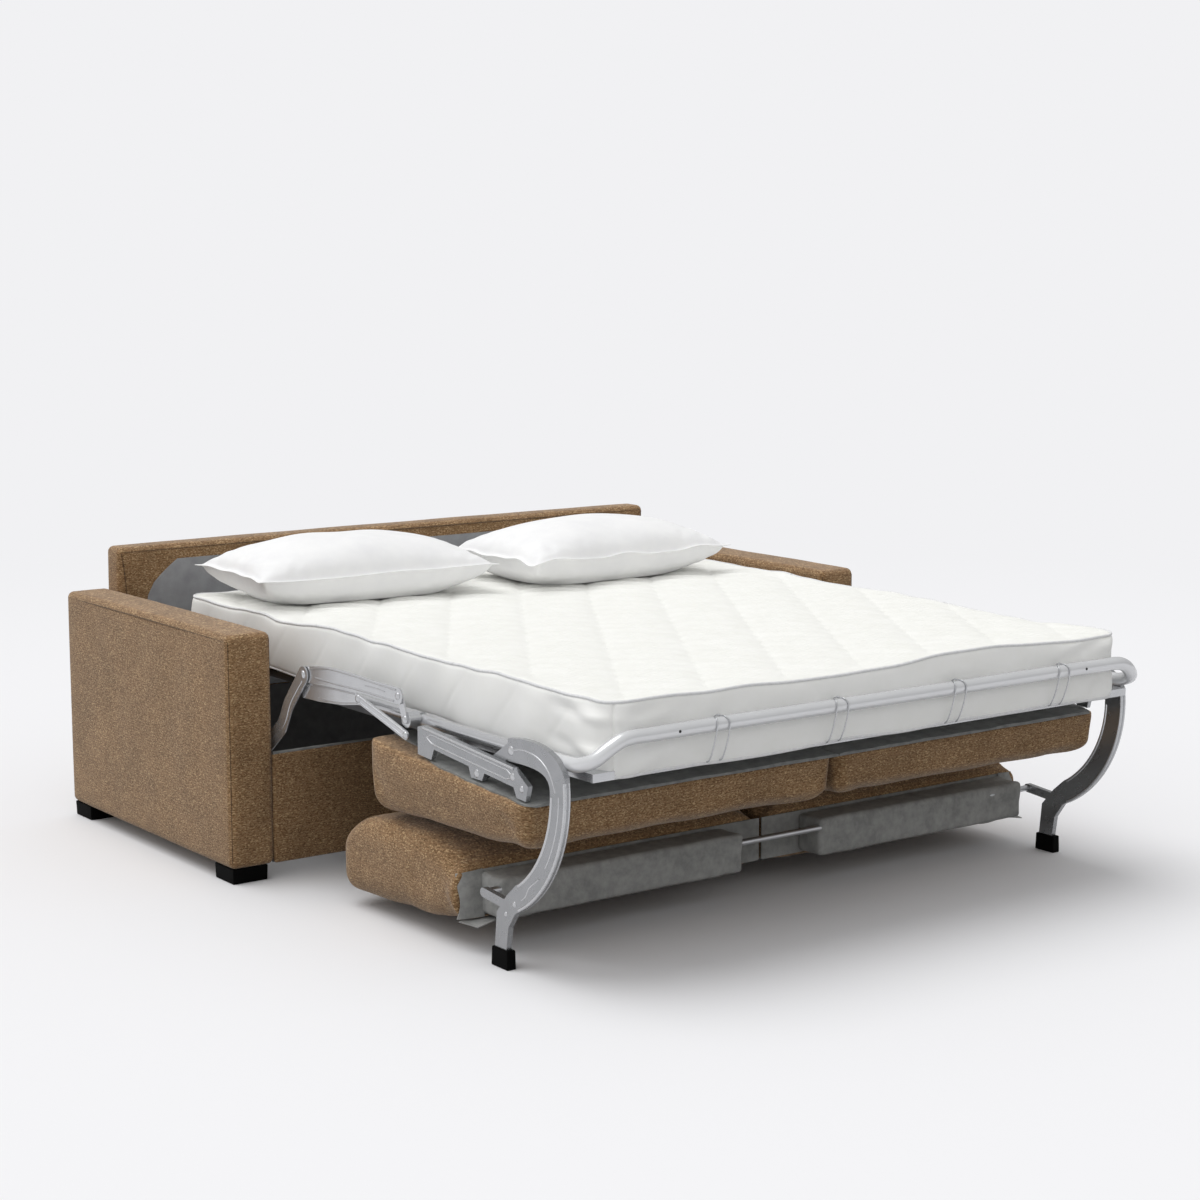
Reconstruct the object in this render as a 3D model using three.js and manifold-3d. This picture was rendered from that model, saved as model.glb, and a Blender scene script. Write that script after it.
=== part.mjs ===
// Sleeper sofa with a pull-out bed, shown with the bed open.
// Units are millimetres, +Z is up, +Y points to the back of the sofa and the bed opens towards -Y.
// While it is modelled, y = 0 is the front of the arms; the finished group is then shifted along Y so that
// the origin lies on the floor under the middle of the whole object.
// A side view is a list of [y, z] places; pieces of the mechanism are plates that lie in side planes.

import * as THREE from 'three';
import { mergeVertices } from 'three/addons/utils/BufferGeometryUtils.js';
import Module from 'manifold-3d';

const wasm = await Module();
wasm.setup();

// The sofa's carcass
const sofaDepth = 960;
const backHeight = 760;
const backThickness = 82;
const armHeight = 640;
const armWidth = 125;
const footHeight = 40;
const footLength = 100;
const footInset = 6;
const panelThickness = 18;
const panelSetback = 2;
const panelTop = 324;
const liningThickness = 6;
const liningInset = 135;
const liningTopInset = 16;
const edgeRadius = 14;

// The bed
const bedHeight = 640;
const mattressWidth = 1600;
const mechanismRoom = 125;
const mattressThickness = 150;
const mattressFootY = -1270;
const footFoldY = -650;
const headFoldY = -10;
const mattressHeadY = 715;
const mattressEdgeRadius = 22;
const mattressSideRadius = 26;
const foldEdgeRadius = 3;
const foldGap = 0.25;
const meshThickness = 19;
const slatWidth = 45;
const slatPitchLimit = 150;
const meshInset = 14;
const headMeshInset = 37;
const curbWidth = 10;
const ledgeReach = 22;
const ledgeLength = 44;
const ledgeThickness = 8;

// The clearances
const touch = 0.3;
const pinClearance = 0.3;
const plateSlack = 0.6;
const wideSlack = 2.4;

// The mechanism's stock
const plateThickness = 4;
const bracketThickness = 5;
const channelThickness = 12;
const legThickness = 14;
const tubeRadius = 15;
const bowRadius = 14;
const backTubeRadius = 8;
const headTubeRadius = 8.5;
const headTubeRoom = 6;
const pinRadius = 8;
const pinHeadRadius = 13;
const pinHeadThickness = 2;

// The mechanism's pivots in side view: y then z
const rockerFoot = [170, 276];
const rockerTop = [-140, 550];
const midLinkPivot = [-395, 529];
const hubPlace = [-600, 510];
const upperArmEnd = [-577, 563];
const legPivot = [-893, 434];
const backTubePlace = [-896, 158];
const railHeight = 508;
const footRailEnd = [-985, 504];
const railMeeting = 2;

// The cushions in side view
const seatRearY = -430;
const seatFrontY = -1105;
const seatTopRear = 450;
const seatTopFront = 404;
const seatBottomRear = 262;
const seatBottomFront = 292;
const boardThickness = 8;
const boardInset = 14;
const cushionRoom = 10;
const cushionSplit = 1.5;
const backRearY = -277;
const backFrontY = -815;
const backBottom = 32;
const backTop = 250;
const backShoulder = 195;
const padFrontY = -906;
const padBottom = 85;
const padTop = 183;
const padRoom = 85;
const padSplit = 125;
const crown = 6;

// The pillows
const pillowWidth = 730;
const pillowDepth = 450;
const pillowHeight = 172;
const pillowSeamHeight = 76;
const pillowPull = 22;
const leftPillowPlace = [-432, 461];
const leftPillowTurn = -5;
const rightPillowPlace = [336, 372];
const rightPillowTurn = 2;

// Levels and planes that follow from the sizes above; a plane is a distance from the middle of the sofa
const mattressHalf = mattressWidth / 2;
const armInner = mattressHalf + mechanismRoom;
const armOuter = armInner + armWidth;
const cushionReach = armInner - cushionRoom;
const padReach = armInner - padRoom;
const headTubeReach = armInner - headTubeRoom;
const headTubeY = mattressHeadY - headMeshInset + touch + headTubeRadius;
const backFaceY = sofaDepth - backThickness;
const mattressBottom = bedHeight - mattressThickness;
const meshTop = mattressBottom - touch;
const meshBottom = meshTop - meshThickness;
const bracketPlane = [armInner - touch - bracketThickness, armInner - touch];
const rockerPlane = [bracketPlane[0] - wideSlack * 2 - plateThickness, bracketPlane[0] - wideSlack * 2];
const upperPlane = [rockerPlane[0] - wideSlack - plateThickness, rockerPlane[0] - wideSlack];
const lowerPlane = [upperPlane[0] - plateSlack - plateThickness, upperPlane[0] - plateSlack];
const channelPlane = [lowerPlane[0] - wideSlack - channelThickness, lowerPlane[0] - wideSlack];
const legPlane = [channelPlane[0] - plateSlack - legThickness, channelPlane[0] - plateSlack];
const railCentre = legPlane[0] - plateSlack - tubeRadius;
const railInner = railCentre - tubeRadius;

// The finishes
const finishes = {
	upholstery: { color: 0x7d644a, roughness: 0.95, metalness: 0 },
	lining: { color: 0x8b8c8d, roughness: 0.9, metalness: 0 },
	ticking: { color: 0xeeefec, roughness: 0.85, metalness: 0 },
	linen: { color: 0xf5f5f5, roughness: 0.85, metalness: 0 },
	steel: { color: 0xb9babc, roughness: 0.4, metalness: 0.7 },
	plastic: { color: 0x16161a, roughness: 0.5, metalness: 0 },
};

const sofa = new THREE.Group();
const sides = { left: - 1, right: 1 };

function material( finish ) {

	return new THREE.MeshStandardMaterial( finishes[ finish ] );

}

function addPiece( name, geometry, finish ) {

	const mesh = new THREE.Mesh( geometry, material( finish ) );
	mesh.name = name;
	sofa.add( mesh );

}

// Solids: a closed geometry becomes a solid that can be joined and cut, and comes back as a geometry

function toSolid( geometry ) {

	const bare = geometry.clone();
	bare.deleteAttribute( 'normal' );
	bare.deleteAttribute( 'uv' );
	const merged = mergeVertices( bare );
	return new wasm.Manifold( new wasm.Mesh( {
		numProp: 3,
		vertProperties: new Float32Array( merged.attributes.position.array ),
		triVerts: new Uint32Array( merged.index.array ),
	} ) );

}

function toGeometry( solid ) {

	const mesh = solid.getMesh();
	const geometry = new THREE.BufferGeometry();
	geometry.setAttribute( 'position', new THREE.BufferAttribute( mesh.vertProperties, 3 ) );
	geometry.setIndex( new THREE.BufferAttribute( mesh.triVerts, 1 ) );
	return geometry;

}

function joined( geometries, cuts = [] ) {

	let solid = toSolid( geometries[ 0 ] );
	for ( const geometry of geometries.slice( 1 ) ) solid = solid.add( toSolid( geometry ) );
	for ( const geometry of cuts ) solid = solid.subtract( toSolid( geometry ) );
	return toGeometry( solid );

}

function block( xs, ys, zs ) {

	const geometry = new THREE.BoxGeometry( xs[ 1 ] - xs[ 0 ], ys[ 1 ] - ys[ 0 ], zs[ 1 ] - zs[ 0 ] );
	return geometry.translate( ( xs[ 0 ] + xs[ 1 ] ) / 2, ( ys[ 0 ] + ys[ 1 ] ) / 2, ( zs[ 0 ] + zs[ 1 ] ) / 2 );

}

// A pair of distances from the middle plane, on the side asked for, in rising order
function onSide( side, plane ) {

	return side < 0 ? [ - plane[ 1 ], - plane[ 0 ] ] : plane;

}

const roundSides = 24;

function rodAlongX( xs, place, radius, count = roundSides ) {

	const geometry = new THREE.CylinderGeometry( radius, radius, xs[ 1 ] - xs[ 0 ], count );
	geometry.rotateZ( Math.PI / 2 );
	return geometry.translate( ( xs[ 0 ] + xs[ 1 ] ) / 2, place[ 0 ], place[ 1 ] );

}

// A shape drawn in side view, y across and z up, made into a plate between two values of x
const sideBasis = new THREE.Matrix4().makeBasis(
	new THREE.Vector3( 0, 1, 0 ), new THREE.Vector3( 0, 0, 1 ), new THREE.Vector3( 1, 0, 0 ) );

const curveSteps = 10;

function sidePlate( shape, xs ) {

	const options = { depth: xs[ 1 ] - xs[ 0 ], bevelEnabled: false, curveSegments: curveSteps };
	const geometry = new THREE.ExtrudeGeometry( shape, options );
	return geometry.applyMatrix4( sideBasis ).translate( xs[ 0 ], 0, 0 );

}

function outline( places ) {

	return new THREE.Shape( places.map( ( place ) => new THREE.Vector2( place[ 0 ], place[ 1 ] ) ) );

}

// A flat bar between two places with round ends
function barShape( from, to, halfWidth ) {

	const along = Math.atan2( to[ 1 ] - from[ 1 ], to[ 0 ] - from[ 0 ] );
	const shape = new THREE.Shape();
	shape.absarc( to[ 0 ], to[ 1 ], halfWidth, along - Math.PI / 2, along + Math.PI / 2, false );
	shape.absarc( from[ 0 ], from[ 1 ], halfWidth, along + Math.PI / 2, along + Math.PI * 1.5, false );
	return shape;

}

function tubeThrough( points, radius, steps, count ) {

	const section = new THREE.Shape();
	section.absarc( 0, 0, radius, 0, Math.PI * 2, false );
	const corners = section.getSpacedPoints( count ).slice( 0, count );
	const path = new THREE.CatmullRomCurve3( points, false, 'centripetal' );
	return new THREE.ExtrudeGeometry( new THREE.Shape( corners ), { steps, extrudePath: path } );

}

function straightTube( from, to, radius ) {

	const along = new THREE.Vector3().subVectors( to, from );
	const geometry = new THREE.CylinderGeometry( radius, radius, along.length(), roundSides );
	geometry.applyQuaternion( new THREE.Quaternion().setFromUnitVectors(
		new THREE.Vector3( 0, 1, 0 ), along.clone().normalize() ) );
	return geometry.translate( ( from.x + to.x ) / 2, ( from.y + to.y ) / 2, ( from.z + to.z ) / 2 );

}

// Soft blocks: a rounded section in side view, carried along x by rings that close towards both ends

const cornerSteps = 4;
const endSteps = 4;
const middleSteps = 4;

// Corners are [y, z, radius] in anticlockwise order
function roundedSection( corners ) {

	const points = [];
	corners.forEach( ( corner, index ) => {

		const here = new THREE.Vector2( corner[ 0 ], corner[ 1 ] );
		const before = corners[ ( index + corners.length - 1 ) % corners.length ];
		const after = corners[ ( index + 1 ) % corners.length ];
		const back = new THREE.Vector2( before[ 0 ], before[ 1 ] ).sub( here ).normalize();
		const on = new THREE.Vector2( after[ 0 ], after[ 1 ] ).sub( here ).normalize();
		const half = Math.acos( THREE.MathUtils.clamp( back.dot( on ), - 1, 1 ) ) / 2;
		const reach = corner[ 2 ] / Math.tan( half );
		const start = here.clone().addScaledVector( back, reach );
		const end = here.clone().addScaledVector( on, reach );
		const curve = new THREE.QuadraticBezierCurve( start, here, end );
		points.push( ...curve.getPoints( cornerSteps ) );

	} );
	return points;

}

function centreOf( points ) {

	const centre = new THREE.Vector2();
	for ( const point of points ) centre.add( point );
	return centre.divideScalar( points.length );

}

// Rings of equal length are skinned into one closed body, with a fan on each end
function skin( rings ) {

	const count = rings[ 0 ].length;
	const positions = [];
	const triangles = [];
	for ( const ring of rings ) for ( const point of ring ) positions.push( point.x, point.y, point.z );
	for ( let row = 0; row < rings.length - 1; row ++ ) {

		for ( let k = 0; k < count; k ++ ) {

			const next = ( k + 1 ) % count;
			const a = row * count + k;
			const b = row * count + next;
			triangles.push( a, b, b + count, a, b + count, a + count );

		}

	}

	for ( const [ row, flip ] of [ [ 0, false ], [ rings.length - 1, true ] ] ) {

		const middle = new THREE.Vector3();
		for ( const point of rings[ row ] ) middle.add( point );
		middle.divideScalar( count );
		const hub = positions.length / 3;
		positions.push( middle.x, middle.y, middle.z );
		for ( let k = 0; k < count; k ++ ) {

			const a = row * count + k;
			const b = row * count + ( k + 1 ) % count;
			triangles.push( hub, flip ? a : b, flip ? b : a );

		}

	}

	const geometry = new THREE.BufferGeometry();
	geometry.setAttribute( 'position', new THREE.Float32BufferAttribute( positions, 3 ) );
	geometry.setIndex( triangles );
	return geometry;

}

// shapeRing( point, share ) may move a section point; share runs from 0 to 1 along x
function softBlock( corners, xs, endRadius, shapeRing = ( point ) => point ) {

	const section = roundedSection( corners );
	const centre = centreOf( section );
	const length = xs[ 1 ] - xs[ 0 ];
	const stops = [];
	for ( let k = 0; k <= endSteps; k ++ ) {

		const angle = ( k / endSteps ) * Math.PI / 2;
		const inset = endRadius * ( 1 - Math.sin( angle ) );
		const along = endRadius * ( 1 - Math.cos( angle ) );
		stops.push( [ along, inset ] );

	}

	for ( let k = 1; k < middleSteps; k ++ ) {

		stops.push( [ endRadius + ( length - 2 * endRadius ) * k / middleSteps, 0 ] );

	}

	for ( let k = endSteps; k >= 0; k -- ) stops.push( [ length - stops[ k ][ 0 ], stops[ k ][ 1 ] ] );
	const rings = stops.map( ( [ along, inset ] ) => section.map( ( point ) => {

		const inward = new THREE.Vector2().subVectors( centre, point );
		const moved = point.clone().addScaledVector( inward, inset / inward.length() );
		const shaped = shapeRing( moved, along / length );
		return new THREE.Vector3( xs[ 0 ] + along, shaped.x, shaped.y );

	} ) );
	return skin( rings );

}

function rectangleCorners( ys, zs, radius ) {

	return [ [ ys[ 0 ], zs[ 0 ], radius ], [ ys[ 1 ], zs[ 0 ], radius ],
		[ ys[ 1 ], zs[ 1 ], radius ], [ ys[ 0 ], zs[ 1 ], radius ] ];

}

// Swells one face of a cushion: lift is positive for the upper face and negative for the lower one
function crownedFace( ys, middleZ, lift ) {

	return ( point, share ) => {

		const across = THREE.MathUtils.clamp( ( point.x - ys[ 0 ] ) / ( ys[ 1 ] - ys[ 0 ] ), 0, 1 );
		const swell = Math.sin( Math.PI * across ) * Math.sin( Math.PI * share );
		const outer = lift > 0 ? point.y > middleZ : point.y < middleZ;
		return outer ? new THREE.Vector2( point.x, point.y + lift * swell ) : point;

	};

}

// The carcass: two arms, the back, the panel under the seat, and the feet

function makeCarcass() {

	for ( const [ name, side ] of Object.entries( sides ) ) {

		const arm = softBlock( rectangleCorners( [ 0, sofaDepth ], [ footHeight, armHeight ], edgeRadius ),
			onSide( side, [ armInner, armOuter ] ), edgeRadius );
		addPiece( `${ name }_arm`, arm, 'upholstery' );
		const xs = onSide( side, [ armOuter - footInset - footLength, armOuter - footInset ] );
		const foot = [ 0, footHeight - touch ];
		addPiece( `${ name }_front_foot`, block( xs, [ footInset, footInset + footLength ], foot ), 'plastic' );
		addPiece( `${ name }_rear_foot`,
			block( xs, [ sofaDepth - footInset - footLength, sofaDepth - footInset ], foot ), 'plastic' );
		const ledgeTop = meshTop - 2 * headTubeRadius - touch;
		const ledgeXs = onSide( side, [ armInner - touch - ledgeReach, armInner - touch ] );
		const ledgeYs = [ headTubeY - ledgeLength / 2, headTubeY + ledgeLength / 2 ];
		const ledgeZs = [ ledgeTop - ledgeThickness, ledgeTop ];
		addPiece( `${ name }_head_ledge`, block( ledgeXs, ledgeYs, ledgeZs ), 'steel' );

	}

	const reach = armInner - touch;
	addPiece( 'back', softBlock( rectangleCorners( [ backFaceY, sofaDepth ], [ footHeight, backHeight ],
		edgeRadius ), [ - reach, reach ], edgeRadius ), 'upholstery' );
	const lining = block( [ - armInner + liningInset, armInner - liningInset ],
		[ backFaceY - touch - liningThickness, backFaceY - touch ], [ panelTop, backHeight - liningTopInset ] );
	addPiece( 'back_lining', lining, 'lining' );
	addPiece( 'front_panel', block( [ - reach, reach ], [ panelSetback, panelSetback + panelThickness ],
		[ footHeight, panelTop ] ), 'upholstery' );

}

// The mattress in three parts, and the slatted frame under each part

function mattressPart( ys, radii ) {

	const low = mattressBottom;
	const corners = [ [ ys[ 0 ], low, radii[ 0 ] ], [ ys[ 1 ], low, radii[ 1 ] ],
		[ ys[ 1 ], bedHeight, radii[ 1 ] ], [ ys[ 0 ], bedHeight, radii[ 0 ] ] ];
	return softBlock( corners, [ - mattressHalf, mattressHalf ], mattressSideRadius );

}

function slattedFrame( ys, halfWidth, zs, extras = [] ) {

	const pieces = [ ...extras, block( [ - halfWidth, - halfWidth + slatWidth ], ys, zs ),
		block( [ halfWidth - slatWidth, halfWidth ], ys, zs ),
		block( [ - slatWidth / 2, slatWidth / 2 ], ys, zs ) ];
	const count = Math.ceil( ( ys[ 1 ] - ys[ 0 ] - slatWidth ) / slatPitchLimit );
	for ( let k = 0; k <= count; k ++ ) {

		const start = ys[ 0 ] + ( ys[ 1 ] - ys[ 0 ] - slatWidth ) * k / count;
		pieces.push( block( [ - halfWidth, halfWidth ], [ start, start + slatWidth ], zs ) );

	}

	return joined( pieces );

}

function makeMattress() {

	const fold = foldEdgeRadius;
	const round = mattressEdgeRadius;
	const parts = {
		mattress_foot: [ [ mattressFootY, footFoldY - foldGap ], [ round, fold ] ],
		mattress_middle: [ [ footFoldY + foldGap, headFoldY - foldGap ], [ fold, fold ] ],
		mattress_head: [ [ headFoldY + foldGap, mattressHeadY ], [ fold, round ] ],
	};
	for ( const [ name, [ ys, radii ] ] of Object.entries( parts ) ) {

		addPiece( name, mattressPart( ys, radii ), 'ticking' );

	}

	const zs = [ meshBottom, meshTop ];
	const frameHalf = railInner - touch;
	const curbs = ( ys ) => Object.values( sides ).map( ( side ) => block(
		onSide( side, [ frameHalf - curbWidth, frameHalf ] ), ys, [ meshBottom, railHeight ] ) );
	const footYs = [ mattressFootY + meshInset, footFoldY - meshInset ];
	const middleYs = [ footFoldY + meshInset, headFoldY - meshInset ];
	const headYs = [ headFoldY + meshInset, mattressHeadY - headMeshInset ];
	const footCurbs = curbs( [ footRailEnd[ 0 ], footYs[ 1 ] ] );
	addPiece( 'foot_slats', slattedFrame( footYs, frameHalf, zs, footCurbs ), 'steel' );
	addPiece( 'middle_slats', slattedFrame( middleYs, frameHalf, zs, curbs( middleYs ) ), 'steel' );
	const headZs = [ meshTop - 2 * headTubeRadius, meshTop ];
	addPiece( 'head_slats', slattedFrame( headYs, mattressHalf - meshInset, headZs ), 'steel' );
	const headTubePlace = [ headTubeY, meshTop - headTubeRadius ];
	const headTube = rodAlongX( [ - headTubeReach, headTubeReach ], headTubePlace, headTubeRadius );
	addPiece( 'head_tube', headTube, 'steel' );

}

// The swinging side of the mechanism: bracket, rocker, the arms of the middle section and the hub

const rockerHalfWidth = 21;
const rockerBends = [ [ - 62, 462 ], [ - 26, 400 ], [ 42, 346 ] ];
const bracketHalf = 34;
const armTopEdge = [ [ - 245, 584 ], [ - 358, 586 ], [ - 470, 583 ] ];
const armLowEdge = [ [ - 434, 544 ], [ - 266, 540 ] ];
const armEndRadius = 20;
const lowerArmEdge = [ [ - 119, 488 ], [ - 119, 524 ], [ - 150, 530 ], [ - 379, 543 ] ];
const lowerArmTip = [ [ - 391, 512 ], [ - 317, 500 ], [ - 202, 490 ] ];
const linkHalfWidth = 11;
const diagonalEnd = [ - 609, 475 ];
const hubRadius = 20;
const studRadius = 9;
const studPlaces = [ [ - 165, 508 ], [ - 245, 508 ] ];

function pinThrough( side, from, to, place ) {

	const shank = rodAlongX( onSide( side, [ to, from ] ), place, pinRadius );
	const head = rodAlongX( onSide( side, [ to - pinHeadThickness, to ] ), place, pinHeadRadius );
	return [ shank, head ];

}

function pinHole( side, plane, place ) {

	const xs = onSide( side, [ plane[ 0 ] - wideSlack, plane[ 1 ] + wideSlack ] );
	return rodAlongX( xs, place, pinRadius + pinClearance );

}

function makeSwingingSide( name, side ) {

	const bracketYs = [ rockerFoot[ 0 ] - bracketHalf, rockerFoot[ 0 ] + bracketHalf ];
	const bracketZs = [ rockerFoot[ 1 ] - bracketHalf, rockerFoot[ 1 ] + bracketHalf ];
	const bracket = block( onSide( side, bracketPlane ), bracketYs, bracketZs );
	const bracketPin = pinThrough( side, bracketPlane[ 0 ] + touch, rockerPlane[ 0 ] - touch, rockerFoot );
	addPiece( `${ name }_pivot_bracket`, joined( [ bracket, ...bracketPin ] ), 'steel' );

	const stations = [ rockerTop, ...rockerBends, rockerFoot ];
	const bars = stations.slice( 1 ).map( ( place, index ) => sidePlate(
		barShape( stations[ index ], place, rockerHalfWidth ), onSide( side, rockerPlane ) ) );
	const rockerPin = pinThrough( side, rockerPlane[ 0 ] + touch, upperPlane[ 0 ] - touch, rockerTop );
	const rocker = joined( [ ...bars, ...rockerPin ], [ pinHole( side, rockerPlane, rockerFoot ) ] );
	addPiece( `${ name }_rocker`, rocker, 'steel' );

	const upper = new THREE.Shape();
	upper.moveTo( rockerTop[ 0 ], rockerTop[ 1 ] - armEndRadius );
	upper.absarc( rockerTop[ 0 ], rockerTop[ 1 ], armEndRadius, - Math.PI / 2, Math.PI / 2, false );
	upper.splineThru( armTopEdge.map( ( place ) => new THREE.Vector2( ...place ) ) );
	upper.absarc( upperArmEnd[ 0 ], upperArmEnd[ 1 ], armEndRadius, Math.PI / 2, Math.PI * 1.5, false );
	for ( const place of armLowEdge ) upper.lineTo( ...place );
	addPiece( `${ name }_upper_arm`, joined( [ sidePlate( upper, onSide( side, upperPlane ) ) ],
		[ pinHole( side, upperPlane, rockerTop ) ] ), 'steel' );

	const studReach = onSide( side, [ railCentre + tubeRadius + touch, lowerPlane[ 0 ] + touch ] );
	const studs = studPlaces.map( ( place ) => rodAlongX( studReach, place, studRadius ) );
	const lowerShape = outline( [ ...lowerArmEdge, ...lowerArmTip ].reverse() );
	const lower = sidePlate( lowerShape, onSide( side, lowerPlane ) );
	addPiece( `${ name }_lower_arm`, joined( [ lower, ...studs ] ), 'steel' );

	addPiece( `${ name }_diagonal_link`, sidePlate( barShape( midLinkPivot, diagonalEnd, linkHalfWidth ),
		onSide( side, upperPlane ) ), 'steel' );

	const hanger = sidePlate( barShape( upperArmEnd, hubPlace, linkHalfWidth ), onSide( side, lowerPlane ) );
	const hub = rodAlongX( studReach, hubPlace, hubRadius );
	addPiece( `${ name }_hub`, joined( [ hanger, hub ] ), 'steel' );

	const x = side * railCentre;
	const rail = straightTube( new THREE.Vector3( x, hubPlace[ 0 ], railHeight ),
		new THREE.Vector3( x, headFoldY - meshInset, railHeight ), tubeRadius );
	addPiece( `${ name }_middle_rail`, rail, 'steel' );

}

// The foot section: side rails, the bow round the foot of the mattress and its wire stirrups

const footRailStart = [ hubPlace[ 0 ] - railMeeting, footRailEnd[ 1 ] ];
const bowFrontY = - 1287;
const bowFrontHeight = 566;
const bowSideY = - 1195;
const bowCornerRadius = 85;
const bowCornerX = railCentre - bowCornerRadius;
const bowStraightShare = 0.9;
const bowCornerShares = [ [ 0.98, 0.35, 0.05 ], [ 0.86, 0.78, 0.3 ], [ 0.5, 0.96, 0.72 ], [ 0.12, 1, 0.96 ] ];
const bowSteps = 72;
const bowSides = 12;
const stirrupShares = [ - 0.65, - 0.2125, 0.25625, 0.7 ];
const stirrupWidth = 36;
const wireRadius = 1.8;
const wireSteps = 26;
const wireSides = 6;
const wireDip = 8;
const wireSlack = 0.5;
const wireLead = 5.4;
const wireTopShare = 0.9;
const wireShoulderShare = 0.78;

function makeFootFrame() {

	for ( const [ name, side ] of Object.entries( sides ) ) {

		const x = side * railCentre;
		const start = new THREE.Vector3( x, ...footRailStart );
		const end = new THREE.Vector3( x, ...footRailEnd );
		addPiece( `${ name }_foot_rail`, straightTube( start, end, tubeRadius ), 'steel' );

	}

	const half = bowCornerShares.map( ( [ out, forward, up ] ) => new THREE.Vector3(
		- bowCornerX - ( railCentre - bowCornerX ) * out,
		bowSideY + ( bowFrontY - bowSideY ) * forward,
		footRailEnd[ 1 ] + ( bowFrontHeight - footRailEnd[ 1 ] ) * up ) );
	const start = new THREE.Vector3( - railCentre, footRailEnd[ 0 ] - touch, footRailEnd[ 1 ] );
	const straight = new THREE.Vector3( - railCentre, bowSideY, footRailEnd[ 1 ] );
	const front = new THREE.Vector3( - bowCornerX * bowStraightShare, bowFrontY, bowFrontHeight );
	const leftSide = [ start, straight, ...half, front ];
	const rightSide = leftSide.map( ( point ) => new THREE.Vector3( - point.x, point.y, point.z ) ).reverse();
	const bow = tubeThrough( [ ...leftSide, new THREE.Vector3( 0, bowFrontY, bowFrontHeight ), ...rightSide ],
		bowRadius, bowSteps, bowSides );
	addPiece( 'foot_bow', bow, 'steel' );

	const reach = bowRadius + wireRadius + wireSlack;
	stirrupShares.forEach( ( share, index ) => {

		const x = mattressHalf * share;
		const shoulder = reach * wireShoulderShare;
		const wireStart = mattressFootY + meshInset - touch - wireRadius;
		const leg = ( offset ) => [
			new THREE.Vector3( x + offset, wireStart, ( meshBottom + meshTop ) / 2 ),
			new THREE.Vector3( x + offset, mattressFootY - wireLead, mattressBottom - wireDip ),
			new THREE.Vector3( x + offset, bowFrontY - reach, bowFrontHeight ),
			new THREE.Vector3( x + offset * wireTopShare, bowFrontY - shoulder, bowFrontHeight + shoulder ),
		];
		const top = new THREE.Vector3( x, bowFrontY, bowFrontHeight + reach + wireSlack );
		const path = [ ...leg( - stirrupWidth / 2 ), top, ...leg( stirrupWidth / 2 ).reverse() ];
		addPiece( `wire_stirrup_${ index + 1 }`, tubeThrough( path, wireRadius, wireSteps, wireSides ), 'steel' );

	} );

}

// The seat: two cushions that hang upside down under the foot section, their boards and the side channels

const seatEndRadius = 64;
const seatRadii = [ 24, 42, 45, 26 ];
const channelEdge = [ [ - 646, 500 ], [ - 665, 506 ], [ - 1042, 474 ], [ - 1096, 441 ] ];
const channelFeet = [ [ - 1087, - 1052 ], [ - 704, - 646 ] ];
const channelLowEdge = [ [ - 1040, 430 ], [ - 925, 440 ], [ - 915, 421 ], [ - 871, 421 ], [ - 861, 445 ],
	[ - 716, 458 ] ];

function seatTopAt( y ) {

	return seatTopFront + ( seatTopRear - seatTopFront ) * ( y - seatFrontY ) / ( seatRearY - seatFrontY );

}

function makeSeat() {

	const drop = boardThickness + touch;
	const corners = [ [ seatFrontY, seatTopFront - drop ], [ seatFrontY, seatBottomFront ],
		[ seatRearY, seatBottomRear ], [ seatRearY, seatTopRear - drop ] ];
	corners.forEach( ( corner, index ) => corner.push( seatRadii[ index ] ) );
	const middle = ( seatTopFront + seatBottomRear ) / 2;
	const shape = crownedFace( [ seatFrontY, seatRearY ], middle, - crown );
	const boardYs = [ seatFrontY + boardInset, seatRearY - boardInset ];
	const board = outline( [ [ boardYs[ 0 ], seatTopAt( boardYs[ 0 ] ) - boardThickness ],
		[ boardYs[ 1 ], seatTopAt( boardYs[ 1 ] ) - boardThickness ],
		[ boardYs[ 1 ], seatTopAt( boardYs[ 1 ] ) ], [ boardYs[ 0 ], seatTopAt( boardYs[ 0 ] ) ] ] );
	for ( const [ name, side ] of Object.entries( sides ) ) {

		const xs = onSide( side, [ cushionSplit, cushionReach ] );
		addPiece( `${ name }_seat_cushion`, softBlock( corners, xs, seatEndRadius, shape ), 'upholstery' );
		const boardXs = onSide( side, [ cushionSplit, cushionReach - boardInset ] );
		addPiece( `${ name }_seat_board`, sidePlate( board, boardXs ), 'lining' );
		const standing = ( ys ) => ys.map( ( y ) => [ y, seatTopAt( y ) + touch ] );
		const [ frontFoot, rearFoot ] = channelFeet.map( standing );
		const channelSide = outline( [ ...channelEdge, ...frontFoot, ...channelLowEdge, ...rearFoot ] );
		const channel = sidePlate( channelSide, onSide( side, channelPlane ) );
		const pinXs = onSide( side, [ legPlane[ 0 ] + touch, channelPlane[ 0 ] + touch ] );
		const pin = rodAlongX( pinXs, legPivot, pinRadius );
		addPiece( `${ name }_seat_channel`, joined( [ channel, pin ] ), 'steel' );

	}

}

// The backrest: two cushions with grey lower pads, the cross tube, and the two curved legs that carry them

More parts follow.
